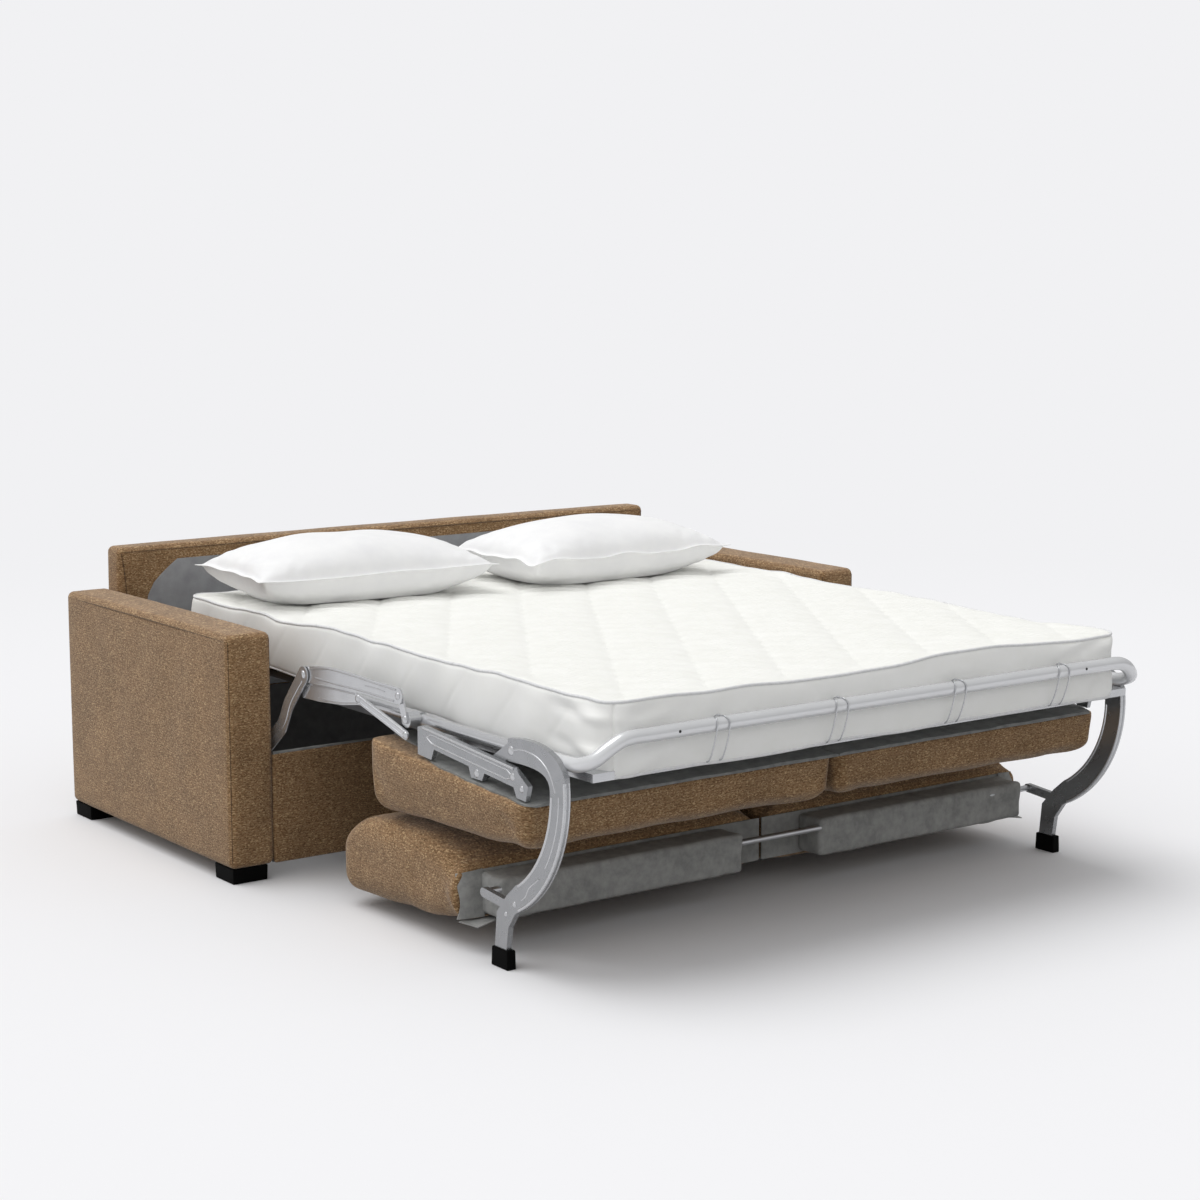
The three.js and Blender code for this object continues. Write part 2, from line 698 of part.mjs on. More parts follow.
const backEndRadius = 56;
const backCorners = [ [ backFrontY, 73 ], [ - 640, 50 ], [ - 320, backBottom ], [ backRearY, 60 ],
	[ backRearY, 165 ], [ - 470, backTop ], [ - 650, 248 ], [ backFrontY, backShoulder ] ];
const backRadii = [ 24, 45, 50, 30, 50, 60, 45, 12 ];
const legOuterRadius = 325;
const legInnerRadius = 268;
const legOuterAngles = [ 172, 246 ];
const legInnerAngles = [ 179, 240 ];
const legLobe = { top: [ - 1000, 531 ], topPull: [ - 1086, 549 ], outerPull: [ - 1190, 538 ],
	innerPull: [ - 1160, 484 ], lowPull: [ - 1100, 484 ], low: [ - 1000, 480 ] };
const legShin = [ [ - 998, 98 ], [ - 990, 45 ] ];
const legCalf = [ [ - 944, 45 ], [ - 952, 126 ], [ - 992, 172 ] ];
const legBarHalfWidth = 15;
const legBarStart = [ - 1004, 505 ];
const tabHalfWidth = 11;
const tabStart = [ - 985, 150 ];
const capYs = [ - 1001, - 936 ];
const capHeight = 45;
const capMargin = 5;

function legGeometry( side ) {

	const [ py, pz ] = legPivot;
	const around = ( radius, angle ) => [ py + radius * Math.cos( angle ), pz + radius * Math.sin( angle ) ];
	const outer = legOuterAngles.map( THREE.MathUtils.degToRad );
	const inner = legInnerAngles.map( THREE.MathUtils.degToRad );
	const shape = new THREE.Shape();
	shape.moveTo( ...legLobe.low );
	shape.lineTo( ...legLobe.top );
	shape.bezierCurveTo( ...legLobe.topPull, ...legLobe.outerPull, ...around( legOuterRadius, outer[ 0 ] ) );
	shape.absarc( py, pz, legOuterRadius, outer[ 0 ], outer[ 1 ], false );
	for ( const place of [ ...legShin, ...legCalf ] ) shape.lineTo( ...place );
	shape.absarc( py, pz, legInnerRadius, inner[ 1 ], inner[ 0 ], true );
	shape.bezierCurveTo( ...legLobe.innerPull, ...legLobe.lowPull, ...legLobe.low );
	const xs = onSide( side, legPlane );
	const bar = sidePlate( barShape( legBarStart, legPivot, legBarHalfWidth ), xs );
	const tab = sidePlate( barShape( tabStart, backTubePlace, tabHalfWidth ), xs );
	const hole = pinHole( side, [ legPlane[ 0 ] - wideSlack, legPlane[ 1 ] ], legPivot );
	return joined( [ sidePlate( shape, xs ), bar, tab ], [ hole ] );

}

function makeBackrest() {

	const corners = backCorners.map( ( [ y, z ], index ) => [ y, z, backRadii[ index ] ] );
	const shape = crownedFace( [ backFrontY, backRearY ], ( backTop + backBottom ) / 2, crown );
	const cushionXs = [ cushionSplit, cushionReach ];
	for ( const [ name, side ] of Object.entries( sides ) ) {

		addPiece( `${ name }_back_cushion`,
			softBlock( corners, onSide( side, cushionXs ), backEndRadius, shape ), 'upholstery' );
		const pad = outline( rectangleCorners( [ padFrontY, backFrontY - touch ], [ padBottom, padTop ], 0 ) );
		const bore = new THREE.Path();
		bore.absarc( ...backTubePlace, backTubeRadius + touch, 0, Math.PI * 2, true );
		pad.holes.push( bore );
		addPiece( `${ name }_back_pad`, sidePlate( pad, onSide( side, [ padSplit, padReach ] ) ), 'lining' );
		addPiece( `${ name }_leg`, legGeometry( side ), 'steel' );
		const capXs = onSide( side, [ legPlane[ 0 ] - capMargin, legPlane[ 1 ] + capMargin ] );
		addPiece( `${ name }_leg_cap`, block( capXs, capYs, [ 0, capHeight - touch ] ), 'plastic' );

	}

	const tubeReach = legPlane[ 0 ] - touch;
	const crossTube = rodAlongX( [ - tubeReach, tubeReach ], backTubePlace, backTubeRadius );
	addPiece( 'back_cross_tube', crossTube, 'steel' );

}

// The pillows: a seam round the middle, a swollen top and a flatter underside, with sides drawn in

const pillowColumns = 16;
const pillowRows = 12;
const pillowFullnessShares = { power: 2.4, root: 0.55 };
const pillowFlatShare = 0.86;

function pillowGeometry() {

	const { power, root } = pillowFullnessShares;
	const place = ( u, v, up ) => {

		const across = u * ( pillowWidth / 2 - pillowPull * ( 1 - v * v ) );
		const along = v * ( pillowDepth / 2 - pillowPull * ( 1 - u * u ) );
		const [ fullU, fullV ] = [ u, v ].map( ( share ) => 1 - Math.pow( Math.abs( share ), power ) );
		const full = Math.pow( fullU * fullV, root );
		const swell = up ? ( pillowHeight - pillowSeamHeight ) * full
			: - pillowSeamHeight * Math.min( 1, full / pillowFlatShare );
		return [ across, along, pillowSeamHeight + swell ];

	};
	const positions = [];
	const triangles = [];
	const index = {};
	const vertex = ( i, j, up ) => {

		const border = i === 0 || j === 0 || i === pillowColumns || j === pillowRows;
		const key = `${ i },${ j },${ border ? 'seam' : up }`;
		if ( ! ( key in index ) ) {

			index[ key ] = positions.length / 3;
			positions.push( ...place( 2 * i / pillowColumns - 1, 2 * j / pillowRows - 1, up ) );

		}

		return index[ key ];

	};
	for ( const up of [ true, false ] ) {

		for ( let i = 0; i < pillowColumns; i ++ ) {

			for ( let j = 0; j < pillowRows; j ++ ) {

				const [ a, b, c, d ] = [ vertex( i, j, up ), vertex( i + 1, j, up ), vertex( i + 1, j + 1, up ),
					vertex( i, j + 1, up ) ];
				const cell = [ a, b, c, a, c, d ];
				triangles.push( ...( up ? cell : cell.reverse() ) );

			}

		}

	}

	const geometry = new THREE.BufferGeometry();
	geometry.setAttribute( 'position', new THREE.Float32BufferAttribute( positions, 3 ) );
	geometry.setIndex( triangles );
	return geometry;

}

function makePillows() {

	const pillows = { left: [ leftPillowPlace, leftPillowTurn ], right: [ rightPillowPlace, rightPillowTurn ] };
	for ( const [ name, [ place, turn ] ] of Object.entries( pillows ) ) {

		const geometry = pillowGeometry();
		geometry.rotateZ( THREE.MathUtils.degToRad( turn ) );
		geometry.translate( place[ 0 ], place[ 1 ], bedHeight + touch );
		addPiece( `${ name }_pillow`, geometry, 'linen' );

	}

}

makeCarcass();
makeMattress();
for ( const [ name, side ] of Object.entries( sides ) ) makeSwingingSide( name, side );
makeFootFrame();
makeSeat();
makeBackrest();
makePillows();

const bounds = new THREE.Box3().setFromObject( sofa );
sofa.position.y = - ( bounds.min.y + bounds.max.y ) / 2;

export default sofa;
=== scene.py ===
# %% [markdown]
# # A sleeper sofa with its bed pulled out
# The sofa is about 2.1 m wide. Its bed has unfolded towards the front: a mattress in three sections lies on
# a steel mechanism, and the seat and back cushions hang below it, upside down, where the seat used to be.
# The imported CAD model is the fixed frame. Hard parts keep their CAD shape and get a finish; soft parts are
# replaced by fuller meshes made here. Lengths are millimetres, measured from the middle of the sofa, from
# the front of its arms and from the floor, and one function turns them into Blender's metres.

# %% Load the frame
import math

import bpy
import numpy as np
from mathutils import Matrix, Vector


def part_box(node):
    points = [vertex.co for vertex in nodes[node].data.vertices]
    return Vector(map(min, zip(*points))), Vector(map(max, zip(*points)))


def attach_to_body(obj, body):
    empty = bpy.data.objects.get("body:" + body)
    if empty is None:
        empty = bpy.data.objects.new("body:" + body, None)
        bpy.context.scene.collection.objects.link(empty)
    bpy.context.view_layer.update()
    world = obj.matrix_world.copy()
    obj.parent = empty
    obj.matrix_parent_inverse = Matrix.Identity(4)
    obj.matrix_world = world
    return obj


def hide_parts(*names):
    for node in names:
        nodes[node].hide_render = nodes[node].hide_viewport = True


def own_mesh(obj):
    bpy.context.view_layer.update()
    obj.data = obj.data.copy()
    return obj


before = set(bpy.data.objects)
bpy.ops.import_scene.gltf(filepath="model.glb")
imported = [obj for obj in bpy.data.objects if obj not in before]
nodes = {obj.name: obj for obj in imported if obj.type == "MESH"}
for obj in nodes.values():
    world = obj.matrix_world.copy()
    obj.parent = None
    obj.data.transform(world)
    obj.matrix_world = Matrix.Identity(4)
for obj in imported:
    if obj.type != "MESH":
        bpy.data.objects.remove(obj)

scene = bpy.context.scene
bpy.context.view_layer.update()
arm_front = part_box("left_arm")[0][1]
print(len(nodes), "CAD nodes; the arm front is at y =", round(arm_front, 4), "m")

# %% [markdown]
# ## Meshes from rows of points
# Blender can make a mesh from primitives, from curves or from plain lists of points and faces. Lists are
# used here, because numpy can move thousands of points at once, so a crease or a bulge is one formula.

# %% Points to objects
MM = 0.001


def place(points):
    """Millimetres in the sofa's own measure to metres in the frame."""
    moved = np.asarray(points, float) * MM
    moved[..., 1] += arm_front
    return moved


def new_object(name, data):
    thing = bpy.data.objects.new(name, data)
    scene.collection.objects.link(thing)
    return thing


def mesh_object(name, points, faces, finish, sharp=50):
    mesh = bpy.data.meshes.new(name)
    mesh.from_pydata(place(points).tolist(), [], [list(map(int, face)) for face in faces])
    mesh.validate()
    mesh.materials.append(finish)
    mesh.polygons.foreach_set("use_smooth", [True] * len(mesh.polygons))
    mesh.set_sharp_from_angle(angle=math.radians(sharp))
    return new_object(name, mesh)


def cad_box(name):
    """The low and the high corner of a CAD node, in this file's millimetres."""
    corners = [np.array(list(corner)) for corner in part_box(name)]
    return [(corner - [0, arm_front, 0]) / MM for corner in corners]


def mirrored(points, faces, side):
    """A right-hand skin for its own side; on the left its faces are turned, to stay outward."""
    points[:, 0] *= side
    return points, faces if side > 0 else [face[::-1] for face in faces]


def joined(parts):
    """Several (points, faces) pairs as one pair."""
    points, faces, count = [], [], 0
    for part_points, part_faces in parts:
        points.append(np.asarray(part_points, float))
        faces += [[corner + count for corner in face] for face in part_faces]
        count += len(part_points)
    return np.concatenate(points), faces


# %% [markdown]
# ## A block made of small squares
# A cushion starts as the skin of a box, cut into small squares so that it can bend. The squares are closer
# together at the edges, where the skin turns. Rounding pulls each point towards a smaller box inside.

# %% The skin of a box
ROUND_STEPS = np.array([0, 0.42, 0.73, 1])


def spread(low, high, radius, step):
    """Places along one side of a box, closer together inside the rounded ends."""
    count = max(2, int(round((high - low - 2 * radius) / step)) + 1)
    middle = np.linspace(low + radius, high - radius, count)
    ends = ROUND_STEPS[:-1] * radius
    return np.concatenate([low + ends, middle, high - ends[::-1]])


def grid_faces(grid, turned):
    """The squares between the point numbers of a grid."""
    quads = np.stack([grid[:-1, :-1], grid[1:, :-1], grid[1:, 1:], grid[:-1, 1:]], -1).reshape(-1, 4)
    return (quads[:, ::-1] if turned else quads).tolist()


def box_skin(*axes):
    """The outside of a block that is cut at these places along x, y and z."""
    rim = np.ones([len(axis) for axis in axes], bool)
    rim[1:-1, 1:-1, 1:-1] = False
    number = np.full(rim.shape, -1)
    number[rim] = np.arange(rim.sum())
    points = np.stack([np.asarray(axis, float)[at] for axis, at in zip(axes, np.nonzero(rim))], 1)
    sides = [(number[:, :, -1], False), (number[:, :, 0], True), (number[-1], False), (number[0], True),
             (number[:, -1], True), (number[:, 0], False)]
    faces = []
    for grid, turned in sides:
        faces += grid_faces(grid, turned)
    return points, faces


def soft_box(low, high, radius, step, flat_ends=()):
    """A box with rounded edges. flat_ends names ends, such as 'y-', that stay flat."""
    points, faces = box_skin(*[spread(*ends, radius, step) for ends in zip(low, high)])
    inner_low, inner_high = np.add(low, radius).astype(float), np.subtract(high, radius).astype(float)
    for end in flat_ends:
        axis = "xyz".index(end[0])
        if end[1] == "-":
            inner_low[axis] = low[axis] - radius
        else:
            inner_high[axis] = high[axis] + radius
    inner = np.clip(points, inner_low, inner_high)
    offset = points - inner
    length = np.linalg.norm(offset, axis=1, keepdims=True)
    reach = np.abs(offset).max(1, keepdims=True)
    return inner + offset * np.divide(reach, length, out=np.ones_like(length), where=length > 0), faces


# %% Small unevenness and smooth steps
def ripple(points, size, seed, waves=6):
    """A smooth unevenness of about -1 to 1, with lumps about as wide as size. The seed fixes it."""
    draw = np.random.default_rng(seed)
    total = np.zeros(len(points))
    for _ in range(waves):
        direction = draw.normal(size=3)
        direction /= np.linalg.norm(direction)
        pace = math.tau / size * draw.uniform(0.7, 1.4)
        total += np.sin(points @ direction * pace + draw.uniform(0, math.tau))
    return total / math.sqrt(waves)


def smooth_step(values, start, end):
    share = np.clip((np.asarray(values, float) - start) / (end - start), 0, 1)
    return share * share * (3 - 2 * share)


# %% [markdown]
# ## Tubes
# Piping, rails, wires and the rolled edges of pressed steel are all round in section. One function sweeps
# a ring of points along a path, and another draws a smooth path through a few places.

# %% Smooth paths and tubes
def smooth_path(places, steps):
    """Points along a centripetal Catmull-Rom curve, which doesn't overshoot at close places."""
    places = np.asarray(places, float)
    line = np.concatenate([[2 * places[0] - places[1]], places, [2 * places[-1] - places[-2]]])
    found = []
    for a, b, c, d in zip(line, line[1:], line[2:], line[3:]):
        first, second, third = [np.linalg.norm(gap) ** 0.5 for gap in (b - a, c - b, d - c)]
        leave = ((b - a) / first - (c - a) / (first + second) + (c - b) / second) * second
        arrive = ((c - b) / second - (d - b) / (second + third) + (d - c) / third) * second
        t = np.linspace(0, 1, steps, endpoint=False)[:, None]
        found.append((2 * t**3 - 3 * t**2 + 1) * b + (t**3 - 2 * t**2 + t) * leave
                     + (3 * t**2 - 2 * t**3) * c + (t**3 - t**2) * arrive)
    return np.concatenate(found + [places[-1:]])


def ring_faces(count, sides, closed=False):
    """Squares between count rings of points, and from the last back to the first when closed."""
    faces = []
    for row in range(count if closed else count - 1):
        for side in range(sides):
            a, b = row * sides + side, row * sides + (side + 1) % sides
            faces.append([a, b, (b + sides) % (count * sides), (a + sides) % (count * sides)])
    return faces


def tube(path, radius, sides, closed=False):
    path = np.asarray(path, float)
    along = np.roll(path, -1, 0) - np.roll(path, 1, 0) if closed else np.gradient(path, axis=0)
    along /= np.linalg.norm(along, axis=1, keepdims=True)
    across = np.cross(along[0], np.eye(3)[np.argmin(np.abs(along[0]))])
    rings = []
    turns = np.linspace(0, math.tau, sides, endpoint=False)[:, None]
    for spot, forward in zip(path, along):
        across = across - forward * (across @ forward)
        across /= np.linalg.norm(across)
        rings.append(spot + radius * (np.cos(turns) * across + np.sin(turns) * np.cross(forward, across)))
    count = len(path)
    faces = ring_faces(count, sides, closed)
    if not closed:
        faces.append(list(range(sides))[::-1])
        faces.append(list(range((count - 1) * sides, count * sides)))
    return np.concatenate(rings), faces


# %% Rivet heads
def rivet(x, y, z, radius, height, sides=14):
    """A flat dome on a plate whose face is at x; height is negative towards -x."""
    levels = [(1, 0), (0.86, 0.6), (0.5, 0.93)]
    turns = np.linspace(0, math.tau, sides, endpoint=False)
    rings = []
    for share, lift in levels:
        ring = [np.full(sides, x + height * lift), y + radius * share * np.cos(turns),
                z + radius * share * np.sin(turns)]
        rings.append(np.stack(ring, 1))
    points = np.concatenate(rings + [[[x + height, y, z]]])
    top = len(points) - 1
    faces = [list(range(sides))[::-1]] + ring_faces(len(levels), sides)
    last = (len(levels) - 1) * sides
    faces += [[last + side, last + (side + 1) % sides, top] for side in range(sides)]
    if height < 0:
        faces = [face[::-1] for face in faces]
    return points, faces


# %% [markdown]
# ## Finishes
# A shader is a small graph of nodes. Each finish below begins with what the real material is, because that
# decides how rough it is, whether it is a metal, and what repeats across it. Patterns are set by a real
# size: a texture's scale is the number of repeats in a metre.

# %% Colours and nodes
WAVE_SCALE = math.tau / 20  # a wave texture of scale 1 repeats in this many metres


def linear(code):
    """An sRGB hex colour as the linear numbers that shaders add up."""
    shares = [int(code[at:at + 2], 16) / 255 for at in (1, 3, 5)]
    return [s / 12.92 if s <= 0.04045 else ((s + 0.055) / 1.055) ** 2.4 for s in shares] + [1.0]


def add_node(tree, kind, inputs=None, **settings):
    node = tree.nodes.new("ShaderNode" + kind)
    for setting, value in settings.items():
        setattr(node, setting, value)
    for socket, value in (inputs or {}).items():
        if isinstance(value, bpy.types.NodeSocket):
            tree.links.new(value, node.inputs[socket])
        else:
            node.inputs[socket].default_value = value
    return node


def noise(tree, where, size, detail, rough=0.5):
    """Random patches of about this size in metres, as a number from 0 to 1."""
    return add_node(tree, "TexNoise", {"Vector": where, "Scale": 1 / size, "Detail": detail,
                                       "Roughness": rough}).outputs["Fac"]


def stripes(tree, where, pitch, fine, wobble, axis):
    """Waves across one axis, this pitch in metres apart, as a number from 0 to 1."""
    sockets = {"Vector": where, "Scale": WAVE_SCALE / pitch, "Detail": 2.0, "Detail Scale": fine,
               "Distortion": wobble}
    return add_node(tree, "TexWave", sockets, bands_direction=axis).outputs["Fac"]


def remap(tree, value, low, high, to_low=0.0, to_high=1.0, **settings):
    """The number that lies between the last two as value lies between low and high."""
    sockets = {"Value": value, "From Min": low, "From Max": high, "To Min": to_low, "To Max": to_high}
    return add_node(tree, "MapRange", sockets, **settings).outputs["Result"]


def blend(tree, share, first, second):
    """The colour that lies between two others, by a share from 0 to 1."""
    return add_node(tree, "Mix", {0: share, 6: first, 7: second}, data_type="RGBA").outputs[2]


def roughen(tree, shader, height, strength, depth):
    """Joins a bump, made from a height and deep by so many metres, to the shader."""
    bump = add_node(tree, "Bump", {"Height": height, "Strength": strength, "Distance": depth})
    tree.links.new(bump.outputs["Normal"], shader.inputs["Normal"])


def empty_tree(owner):
    owner.use_nodes = True
    owner.node_tree.nodes.clear()
    return owner.node_tree


def new_finish(name, **base):
    """A material with one Principled shader; base gives values of that shader's own sockets."""
    finish = bpy.data.materials.new(name)
    tree = empty_tree(finish)
    sockets = {socket.replace("_", " "): value for socket, value in base.items()}
    shader = add_node(tree, "BsdfPrincipled", sockets)
    add_node(tree, "OutputMaterial", {"Surface": shader.outputs["BSDF"]})
    where = add_node(tree, "TexCoord").outputs["Object"]
    return finish, tree, shader, where


# %% [markdown]
# ### Woven chenille
# The cover is a tan chenille: short fuzzy yarns in two or three browns, woven in rows about 7 mm apart so
# that light nubs of about 3 mm stand among darker ones. Fabric fuzz catches light at a glancing angle,
# which the sheen socket stands for.

# %% Chenille
NUB, WEFT, SHADE_PATCH = 0.0029, 0.007, 0.09


def chenille(name, dark, middle, light):
    finish, tree, shader, where = new_finish(name, Roughness=0.95, Sheen_Weight=0.25, Sheen_Roughness=0.5,
                                             Specular_IOR_Level=0.2)
    stretch = add_node(tree, "Mapping", {"Vector": where, "Scale": (0.7, 0.7, 1.3)})
    nubs = add_node(tree, "TexVoronoi", {"Vector": stretch.outputs["Vector"], "Scale": 1 / NUB})
    parts = add_node(tree, "SeparateColor", {"Color": nubs.outputs["Color"]})
    tint = blend(tree, remap(tree, parts.outputs["Red"], 0.6, 1.0), linear(middle), linear(light))
    speck = blend(tree, remap(tree, parts.outputs["Green"], 0.45, 1.0), tint, linear(dark))
    shade = remap(tree, noise(tree, where, SHADE_PATCH, 3.0), 0.3, 0.7, 0.88, 1.08)
    yarn = remap(tree, stripes(tree, where, WEFT, 2.0, 6.0, "Z"), 0.0, 1.0, 0.86, 1.1)
    weave = add_node(tree, "Math", {0: shade, 1: yarn}, operation="MULTIPLY")
    cover = add_node(tree, "VectorMath", {0: speck, "Scale": weave.outputs[0]}, operation="SCALE")
    tree.links.new(cover.outputs["Vector"], shader.inputs["Base Color"])
    height = add_node(tree, "Math", {0: 1.0, 1: nubs.outputs["Distance"]}, operation="SUBTRACT")
    roughen(tree, shader, height.outputs[0], 0.45, 0.0015)
    return finish


cover_cloth = chenille("tan_chenille", "#725537", "#987856", "#C6A87F")
# The seams' chenille is a darker copy of the cover: painted shade for the sunk seam lines.
seam_shade_chenille = chenille("chenille_darkened_as_seam_shade", "#4A3926", "#6B533A", "#866B4C")
print("the cover's nubs repeat", round(1 / NUB), "times in a metre")

# %% [markdown]
# ### Grey non-woven lining and knitted ticking
# The parts of a sofa bed that the user seldom sees are covered with a grey spun-bonded felt: fibres pressed
# together at random, so it is mottled and dull. The mattress cover is a white knit with ribs about 12 mm
# apart, and the pillows are in smooth white cotton. All are rough, and only the knit's ribs stand out.

# %% Felt, ticking and cotton
FIBRE, RIB = 0.004, 0.012


def cloth(name, base, other, mottle, grain, strength, ribbed=False):
    finish, tree, shader, where = new_finish(name, Roughness=0.92, Sheen_Weight=0.1, Specular_IOR_Level=0.2)
    share = remap(tree, noise(tree, where, mottle, 6.0, 0.65), 0.35, 0.65)
    tree.links.new(blend(tree, share, linear(base), linear(other)), shader.inputs["Base Color"])
    relief = stripes(tree, where, grain, 1.5, 3.0, "Y") if ribbed else noise(tree, where, grain, 4.0)
    roughen(tree, shader, relief, strength, 0.001)
    return finish


grey_felt = cloth("grey_felt", "#8B8C8A", "#A5A5A3", 0.03, FIBRE, 0.5)
smoke_felt = cloth("smoke_grey_felt", "#7A7B7A", "#939492", 0.03, FIBRE, 0.5)
pale_felt = cloth("pale_felt_on_the_back", "#96979A", "#A6A7AA", 0.05, FIBRE, 0.3)
# This felt is darkened to paint the shade inside the well below the bed.
well_shade_felt = cloth("felt_darkened_as_well_shade", "#5C5C5D", "#6A6A6A", 0.04, FIBRE, 0.4)
border_ticking = cloth("plain_ticking_border", "#FCFCFA", "#F8F8F5", 0.08, 0.003, 0.15)
ticking = cloth("knitted_ticking", "#F6F6F2", "#F1F1EC", 0.08, RIB, 0.9, ribbed=True)
piping_cord = cloth("piping", "#EAEAEB", "#DEDFE0", 0.01, 0.003, 0.4)
cotton = cloth("white_cotton", "#F6F6F6", "#F0F0F1", 0.1, 0.002, 0.12)

# %% [markdown]
# ### Silver paint and moulded plastic
# The mechanism is steel with a silver-grey powder coat, baked on: part mirror, part paint, with a slight
# orange-peel unevenness. The legs and the seat channels get a darker copy of that coat, which is painted
# shade, and the bow a paler copy, which is painted light. The feet and the caps of the legs are black
# polypropylene, moulded with a fine spark-eroded grain. Bare bright steel shows only on the cross tube and
# on the wires.

# %% Hard finishes
WEAR_PATCH = 0.05


def hard(name, base, other, metal, rough, grain, strength, gloss=0.5):
    finish, tree, shader, where = new_finish(name, Metallic=metal, Specular_IOR_Level=gloss)
    patch = noise(tree, where, WEAR_PATCH, 5.0)
    wear = remap(tree, patch, 0.0, 1.0, rough - 0.06, rough + 0.08)
    tree.links.new(blend(tree, patch, linear(base), linear(other)), shader.inputs["Base Color"])
    tree.links.new(wear, shader.inputs["Roughness"])
    roughen(tree, shader, noise(tree, where, grain, 2.0), strength, 0.0004)
    return finish


silver_paint = hard("silver_powder_coat", "#CDCED0", "#BFC0C3", 0.75, 0.24, 0.003, 0.015)
# A darker copy of the silver coat for the legs and the seat channels: painted shade.
shaded_paint = hard("shaded_powder_coat", "#A9AAAD", "#989A9C", 0.75, 0.26, 0.003, 0.015)
# A paler copy of the silver coat for the bow: its extra lightness is painted light.
bow_lightened_coat = hard("silver_coat_lightened_as_painted_light", "#E6E7E9", "#DDDEE0", 0.4, 0.22, 0.003, 0.01)
bright_steel = hard("bright_steel", "#C9CACC", "#B9BABD", 0.9, 0.3, 0.002, 0.15)
# Near-black discs that paint the shade inside the holes of the bow.
hole_shade_paint = hard("shadowed_holes", "#1B1B1C", "#242425", 0.2, 0.6, 0.003, 0.2)
slat_coat = hard("graphite_powder_coat", "#5B5C5E", "#4E4F51", 0.2, 0.5, 0.004, 0.25)
black_plastic = hard("black_polypropylene", "#060606", "#0C0C0C", 0.0, 0.6, 0.0015, 0.4, gloss=0.04)

for name, node in nodes.items():
    finish = silver_paint
    if name.endswith(("foot", "leg_cap")):
        finish = black_plastic
    elif name.startswith("wire") or name == "back_cross_tube":
        finish = bright_steel
    elif name.endswith(("_leg", "_seat_channel")):
        finish = shaded_paint
    elif name in ("middle_slats", "head_slats"):
        finish = slat_coat
    for slot in node.material_slots:
        slot.material = finish
print(len(bpy.data.materials), "materials")


# %% Attach a piece to its body
def attach(piece, body, slot, *replaced):
    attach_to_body(piece, body)
    if replaced:
        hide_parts(*replaced)
    return piece


def add_piece(name, skin, finish, body, slot, *replaced, sharp=50):
    return attach(mesh_object(name, *skin, finish, sharp), body, slot, *replaced)


# %% [markdown]
# ## The upholstered frame
# Arms and back are wooden boxes with a thin layer of foam under the cover, so their faces swell by a few
# millimetres between tight edges, and a seam runs along the edges where two panels of cloth meet. A soft
# box gives the edge, a formula gives the swelling, and a thin tube sunk in the edge gives the seam; its
# chenille is darker to paint the shade that falls in the seam.

# %% Arms
ARM_IN, ARM_OUT, ARM_TOP, DEPTH, FOOT_TOP = 925, 1050, 640, 960, 40
EDGE = 17
ARM_SWELL = 3.5


def swollen_box(low, high, radius, step, swell, seed):
    points, faces = soft_box(low, high, radius, step)
    low, high = np.asarray(low, float), np.asarray(high, float)
    middle = (low + high) / 2
    share = (points - middle) / (high - low) * 2
    fullness = 1 - share**2
    out = np.where(np.abs(share) > 0.97, np.sign(share), 0)
    for axis in range(3):
        others = [other for other in range(3) if other != axis]
        lift = np.sqrt(np.clip(fullness[:, others[0]] * fullness[:, others[1]], 0, 1))
        points[:, axis] += swell * out[:, axis] * lift * (1 + 0.25 * ripple(points, 210, seed + axis))
    return points, faces


def seam(path, radius=1.5):
    return tube(smooth_path(path, 12), radius, 8)


sides = {"left": -1, "right": 1}
for name, side in sides.items():
    low_x, high_x = sorted((side * ARM_IN, side * ARM_OUT))
    skin = swollen_box((low_x, 0, FOOT_TOP), (high_x, DEPTH, ARM_TOP), EDGE, 28, ARM_SWELL, 3)
    add_piece(f"{name}_arm_cover", skin, cover_cloth, "carcass", "upholstery", f"{name}_arm", sharp=180)
    outer, sunk = side * ARM_OUT, EDGE * 0.3
    drop = ARM_TOP - EDGE * 0.9
    lines = [seam([(outer - side * 1.2, EDGE, drop), (outer + side * 1.6, DEPTH / 2, drop + 2),
                   (outer - side * 1.2, DEPTH - EDGE, drop)])]
    for x in (outer - side * sunk, side * (ARM_IN + sunk)):
        lines.append(seam([(x, sunk, ARM_TOP - EDGE), (x, sunk - 1, 340), (x, sunk, FOOT_TOP + EDGE)]))
    add_piece(f"{name}_arm_seams", joined(lines), seam_shade_chenille, "carcass", "upholstery")
print("arms:", ARM_OUT * 2, "mm over both")

# %% Back, with its seams and its grey lining
BACK_TOP, BACK_FACE, BACK_REACH = 760, 878, 924.7
skin = swollen_box((-BACK_REACH, BACK_FACE, FOOT_TOP), (BACK_REACH, DEPTH, BACK_TOP), EDGE, 32, 3, 11)
add_piece("back_cover", skin, cover_cloth, "carcass", "upholstery", "back", sharp=180)
lines = [seam([(-BACK_REACH + EDGE, BACK_FACE + 1, BACK_TOP - EDGE * 0.8),
               (0, BACK_FACE - 2, BACK_TOP - EDGE * 0.7),
               (BACK_REACH - EDGE, BACK_FACE + 1, BACK_TOP - EDGE * 0.8)])]
for side in sides.values():
    x = side * (BACK_REACH - EDGE * 0.5)
    lines.append(seam([(x, BACK_FACE + 1, BACK_TOP - EDGE), (x - side * 6, BACK_FACE - 1, 700),
                       (x - side * 15, BACK_FACE - 1, 560), (x - side * 16, BACK_FACE, FOOT_TOP + EDGE)]))
add_piece("back_seams", joined(lines), seam_shade_chenille, "carcass", "upholstery")

